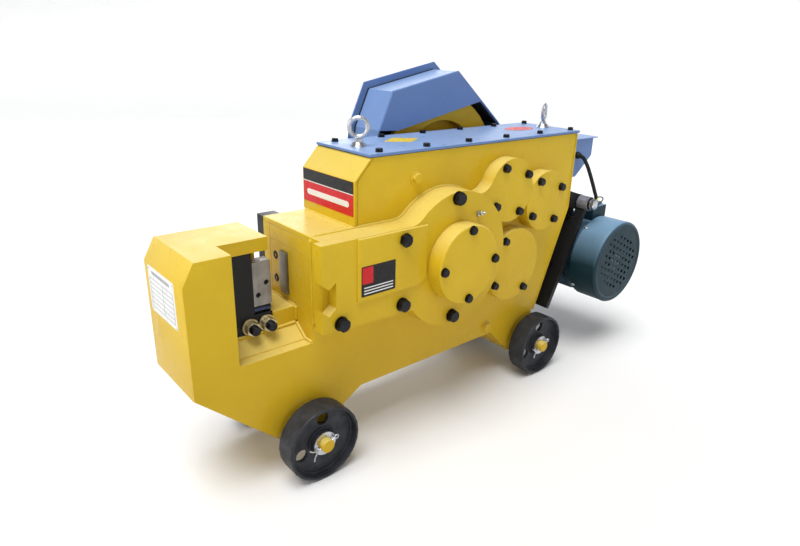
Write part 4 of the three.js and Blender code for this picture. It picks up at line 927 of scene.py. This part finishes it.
band = Build()
band.revolve(on_motor_axis(-84), FRONT, [
    (119.4, -9), (119.6, -5), (117.5, -1), (113, 0.9), (107, 1.2), (104, 0.3), (104, -3), (112, -5),
], segments=56, hollow=True)
band.finish("fan_cover_rolled_edge", TEAL, MOUNT)

# Terminal box lid with its screws and gland, and two strands of the lead that show beside it.
LID_X, LID_Y, LID_Z, LID_RISE = 1238, 46, 412.0, 4
GLAND_X, GLAND_Y = 1227, 16
lid = Build()
lid.prism(rounded(70, 50, 4), UP, (LID_X, LID_Y, LID_Z), LID_RISE, bevel=1.0)
lid.finish("terminal_box_lid", TEAL, MOUNT)
screws = Build()
for dx in (-28, 28):
    for dy in (-18, 18):
        screws.revolve((LID_X + dx, LID_Y + dy, LID_Z + LID_RISE), UP, [
            (4, 0), (3.6, 1.6), (1.8, 2.2), (1.6, 1.4), (0, 1.4),
        ], segments=12)
screws.finish("terminal_box_screws", ZINC, MOUNT)
gland = Build()
gland.revolve((GLAND_X, GLAND_Y, LID_Z + 0.4), UP, [(9.4, 0), (9.4, 3)], segments=6)
gland.revolve((GLAND_X, GLAND_Y, LID_Z + 3.4), UP, [(8.2, 0), (8.2, 5), (6.6, 8), (6.2, 8)], segments=18)
gland.finish("terminal_gland", NYLON, MOUNT)


def wire(name, material, points, steps=24):
    """A thin strand along a cubic curve through four control points."""
    a, b, c, d = (Vector(p) for p in points)
    path = []
    for i in range(steps + 1):
        t = i / steps
        path.append(a * (1 - t) ** 3 + b * 3 * t * (1 - t) ** 2 + c * 3 * t * t * (1 - t) + d * t ** 3)
    strand = Build()
    strand.tube(path, 1.7)
    strand.finish(name, material, MOUNT)


wire("earth_wire_strand", EARTH_WIRE, [(1226, 10, 436), (1204, 0, 432), (1196, 8, 420), (1206, 22, 414)])
wire("phase_wire_strand", BROWN_WIRE, [(1229, 12, 438), (1248, 2, 440), (1258, 8, 424), (1246, 20, 414)])

# The lead's other end, in the switch box's front wall.
LEAD_EXIT = Vector((1174, 64, 556))
gland = Build()
gland.revolve(LEAD_EXIT, FRONT, [(11, 0), (11, 2.5)], segments=6)
gland.revolve(LEAD_EXIT + Vector((0, -2.5, 0)), FRONT, [(9, 0), (9, 5), (6.8, 9), (6.2, 9)], segments=18)
gland.finish("switch_box_gland", NYLON)

NAMEPLATE_INNER_R, NAMEPLATE_OUTER_R = 113.4, 115.4
NAMEPLATE_ARC = [8 + 3.4 * i for i in range(11)]


def nameplate_row(y):
    """The curved plate's outline at one y, out along its outer face and back along its inner one."""
    outer = on_circle(MOTOR, NAMEPLATE_OUTER_R, NAMEPLATE_ARC)
    inner = on_circle(MOTOR, NAMEPLATE_INNER_R, NAMEPLATE_ARC[::-1])
    return [(x, y, z) for x, z in outer + inner]


nameplate = Build()
nameplate.loft([nameplate_row(72), nameplate_row(128)])
nameplate.finish("motor_data_plate", ALUMINIUM, MOUNT)


def on_plate(distance, y, out):
    """A point on the swing plate: distance from the pivot down the plate, and out towards the motor."""
    point = PIVOT_POINT + down_plate * distance + off_plate * out
    return Vector((point.x, y, point.z))


FOOT_THICKNESS, FOOT_BOLT_SPACING = 14.4, 74
bolts = Build()
motor_distance = (MOTOR_AXIS - PIVOT_POINT).dot(down_plate)
for distance in (motor_distance - FOOT_BOLT_SPACING, motor_distance + FOOT_BOLT_SPACING):
    for y in (44, 134):
        for out, way in ((-PLATE_HALF, -off_plate), (PLATE_HALF + FOOT_THICKNESS, off_plate)):
            bolts.hex_head(on_plate(distance, y, out), way, flats=17, height=9, washer=2.0)
bolts.finish("motor_foot_bolts", OXIDE, MOUNT)
nuts = Build()
for y, way in ((-10, FRONT), (178, BACK)):
    nuts.hex_head((PIVOT[0], y, PIVOT[1]), way, flats=26, height=9, washer=2.5, turn=0.2)
nuts.finish("pivot_nuts", ZINC)
sleeve = Build()
for y0, y1 in ((-5.6, 28.4), (43.6, 136.4), (151.6, 171.4)):
    length = y1 - y0
    sleeve.revolve((PIVOT[0], y0, PIVOT[1]), BACK, [
        (19.2, 0), (20.0, 0.8), (20.0, length - 0.8), (19.2, length),
    ], segments=40)
sleeve.finish("pivot_bare_sleeves", BARE_TUBE, MOUNT)
bolts = Build()
for y in (56, 72, 108, 124):
    bolts.hex_head((1075, y, 461), RIGHT, flats=12, height=6, washer=1.2)
bolts.finish("pivot_bracket_bolts", OXIDE)

# ------------------------------------------------------------------ switch box

SWITCH_FACE_X, BUTTON_Z = 1246, 576
BUTTON_Y = {"start": 102, "stop": 142}

lid = Build()
lid.prism(rounded(196, 128, 3), UP, (1162.5, 122, 600), 2.4, bevel=0.6)
lid.finish("switch_box_lid", BLUE)
for name, y in BUTTON_Y.items():
    bezel = Build()
    bezel.revolve((SWITCH_FACE_X, y, BUTTON_Z), RIGHT, [
        (12.6, 0), (16.6, 0), (16.6, 2.2), (15.2, 4.4), (13.2, 4.4), (12.6, 3.8),
    ], segments=32, hollow=True)
    bezel.finish(f"{name}_bezel", NYLON)
screws = Build()
for y in (72, 172):
    for z in (562, 592):
        screws.revolve((SWITCH_FACE_X, y, z), RIGHT, [
            (3.6, 0), (3.2, 1.4), (1.4, 1.9), (0, 1.2),
        ], segments=12)
screws.finish("switch_box_screws", ZINC)

# ------------------------------------------------------------------ belt guard and flywheel

GUARD_BACK_Y, GUARD_HEM_Y, GUARD_SEAL_Y = 291.0, 195.2, 286.4
GUARD_CORNERS = (
    (561, 649), (545, 510), (575, 400), (672, 318), (800, 288), (1225, 168), (1300, 205),
    (1316, 290), (1288, 352), (971, 648), (810, 778), (600, 735),
)
GUARD_SIDES = list(zip(GUARD_CORNERS, GUARD_CORNERS[1:] + GUARD_CORNERS[:1]))
FLANGE_MIDDLE, SCREW_SPACING = 9, 150

bolts = Build()
for start, end in GUARD_SIDES:
    span = Vector(end) - Vector(start)
    outwards = Vector((span.y, -span.x)).normalized()
    count = max(1, round(span.length / SCREW_SPACING))
    for k in range(count):
        point = Vector(start) + span * ((k + 0.5) / count) + outwards * FLANGE_MIDDLE
        bolts.hex_head((point.x, GUARD_BACK_Y, point.y), BACK, flats=10, height=5, washer=1.0)
bolts.finish("guard_flange_screws", ZINC)


def guard_edging(name, y, material):
    """A rod round the guard's wall at one y."""
    edging = Build()
    for (x0, z0), (x1, z1) in GUARD_SIDES:
        edging.tube(between((x0, y, z0), (x1, y, z1), step_mm=40), 1.9)
    edging.finish(name, material)


guard_edging("guard_front_hem", GUARD_HEM_Y, BLUE)
guard_edging("guard_back_seal", GUARD_SEAL_Y, RUBBER)

# A thin dark rubber strip inside the guard's lower right wall is painted shade: it stands in for the
# deep shade there.
SHADE_STRIP_DEPTHS, SHADE_STRIP_Y = (3.6, 6.0), (197, 286)
upper, lower = Vector((810, 0, 778)), Vector((971, 0, 648))
run = (lower - upper).normalized()
inwards = Vector((run.z, 0, -run.x))
near, far = SHADE_STRIP_DEPTHS
shade_strip = Build()
shade_strip.loft([
    [end + inwards * depth + Vector((0, y, 0))
     for end, depth in ((upper, near), (lower, near), (lower, far), (upper, far))]
    for y in SHADE_STRIP_Y
])
shade_strip.finish("guard_inner_painted_shade", RUBBER)

hub = Build()
hub.revolve((INPUT[0], 269, INPUT[1]), BACK, [(22, 0), (22, 3), (19, 4.5), (0, 4.5)], segments=28)
hub.hex_head((INPUT[0], 273.3, INPUT[1]), BACK, flats=34, height=8, turn=0.1)
hub.finish("flywheel_nut", OXIDE, "flywheel_shaft")
key = Build()
key.prism(rounded(9, 14, 1.5), BACK, (INPUT[0], 273, INPUT[1] + 27), 1.6, bevel=0.4)
key.finish("flywheel_key", STEEL, "flywheel_shaft")

# ------------------------------------------------------------------ floor, lights, camera

# The floor runs flat to well behind the machine and then sweeps up, so no horizon line shows.
FLOOR_FLAT, SWEEP, SWEEP_STEPS, FLOOR_SIDES, WALL_TOP = 14.0, 6.0, 12, 64, 13.0


def backdrop():
    """The floor and its sweep, as (radius, height) sections turned about the vertical axis."""
    sections = [(0.01, 0.0), (2.0, 0.0), (FLOOR_FLAT, 0.0)]
    for i in range(1, SWEEP_STEPS + 1):
        a = math.pi / 2 * i / SWEEP_STEPS
        sections.append((FLOOR_FLAT + SWEEP * math.sin(a), SWEEP * (1 - math.cos(a))))
    sections.append((FLOOR_FLAT + SWEEP, WALL_TOP))
    bm = bmesh.new()
    rings = [
        [bm.verts.new((radius * math.cos(a), radius * math.sin(a), height))
         for a in full_turn(FLOOR_SIDES)]
        for radius, height in sections
    ]
    for inner, outer in zip(rings, rings[1:]):
        for k in range(FLOOR_SIDES):
            n = (k + 1) % FLOOR_SIDES
            bm.faces.new((inner[k], outer[k], outer[n], inner[n])).smooth = True
    bm.faces.new(rings[0])
    mesh = bpy.data.meshes.new("floor")
    bm.to_mesh(mesh)
    bm.free()
    return bpy.data.objects.new("floor", mesh)


floor = backdrop()
floor_look = Look("pale_floor", (0.78, 0.78, 0.78), 0.8)
floor_look.paint(floor_look.ramp(floor_look.noise(3.0, 3.0), [(0.3, 0.775), (0.7, 0.785)]))
floor.data.materials.append(floor_look.material)
bpy.context.scene.collection.objects.link(floor)

SKY_COLOR, SKY_STRENGTH = (0.95, 0.97, 1.0, 1.0), 0.22
world = bpy.data.worlds.new("studio")
world.use_nodes = True
sky = world.node_tree.nodes["Background"]
sky.inputs["Color"].default_value = SKY_COLOR
sky.inputs["Strength"].default_value = SKY_STRENGTH
bpy.context.scene.world = world


def aimed(name, kind, place, target, power):
    """A light that stands at a place and shines towards a target."""
    data = bpy.data.lights.new(name, kind)
    data.energy = power
    light = bpy.data.objects.new(name, data)
    light.location = place
    light.rotation_euler = (Vector(target) - Vector(place)).to_track_quat("-Z", "Y").to_euler()
    bpy.context.scene.collection.objects.link(light)
    return data


sun = aimed("key", "SUN", (-2.6, -1.0, 8.8), (0, 0, 0), 3.1)
sun.angle = math.radians(40)
# Name, place, diameter in metres and power in watts.
SOFTBOXES = (
    ("softbox_left", (-3.6, 0.6, 2.0), 2.4, 26),
    ("softbox_back", (2.2, 3.8, 2.6), 3.6, 60),
    ("softbox_front", (-0.6, -4.2, 1.8), 2.4, 6),
)
for name, place, size, power in SOFTBOXES:
    softbox = aimed(name, "AREA", place, (0, 0, 0.4), power)
    softbox.shape = "DISK"
    softbox.size = size

# The camera, as fitted to the machine's straight edges and circles; lens and sensor in millimetres.
CAMERA_PLACE = (-0.9982, -1.0166, 0.8416)
YAW, PITCH, ROLL = math.radians(40.83), math.radians(-20.84), math.radians(1.60)
LENS, SENSOR = 27.27, 36.0
level = Vector((math.sin(YAW), math.cos(YAW), 0))
forward = level * math.cos(PITCH) + Vector((0, 0, math.sin(PITCH)))
right = Vector((math.cos(YAW), -math.sin(YAW), 0))
upward = -level * math.sin(PITCH) + Vector((0, 0, math.cos(PITCH)))
rolled_right = right * math.cos(ROLL) + upward * math.sin(ROLL)
rolled_up = -right * math.sin(ROLL) + upward * math.cos(ROLL)
camera_data = bpy.data.cameras.new("camera")
camera_data.sensor_width = SENSOR
camera_data.lens = LENS
camera = bpy.data.objects.new("camera", camera_data)
turn = Matrix((rolled_right, rolled_up, -forward)).transposed().to_4x4()
camera.matrix_world = Matrix.Translation(CAMERA_PLACE) @ turn
bpy.context.scene.collection.objects.link(camera)
bpy.context.scene.camera = camera
bpy.context.scene.view_settings.view_transform = "Standard"
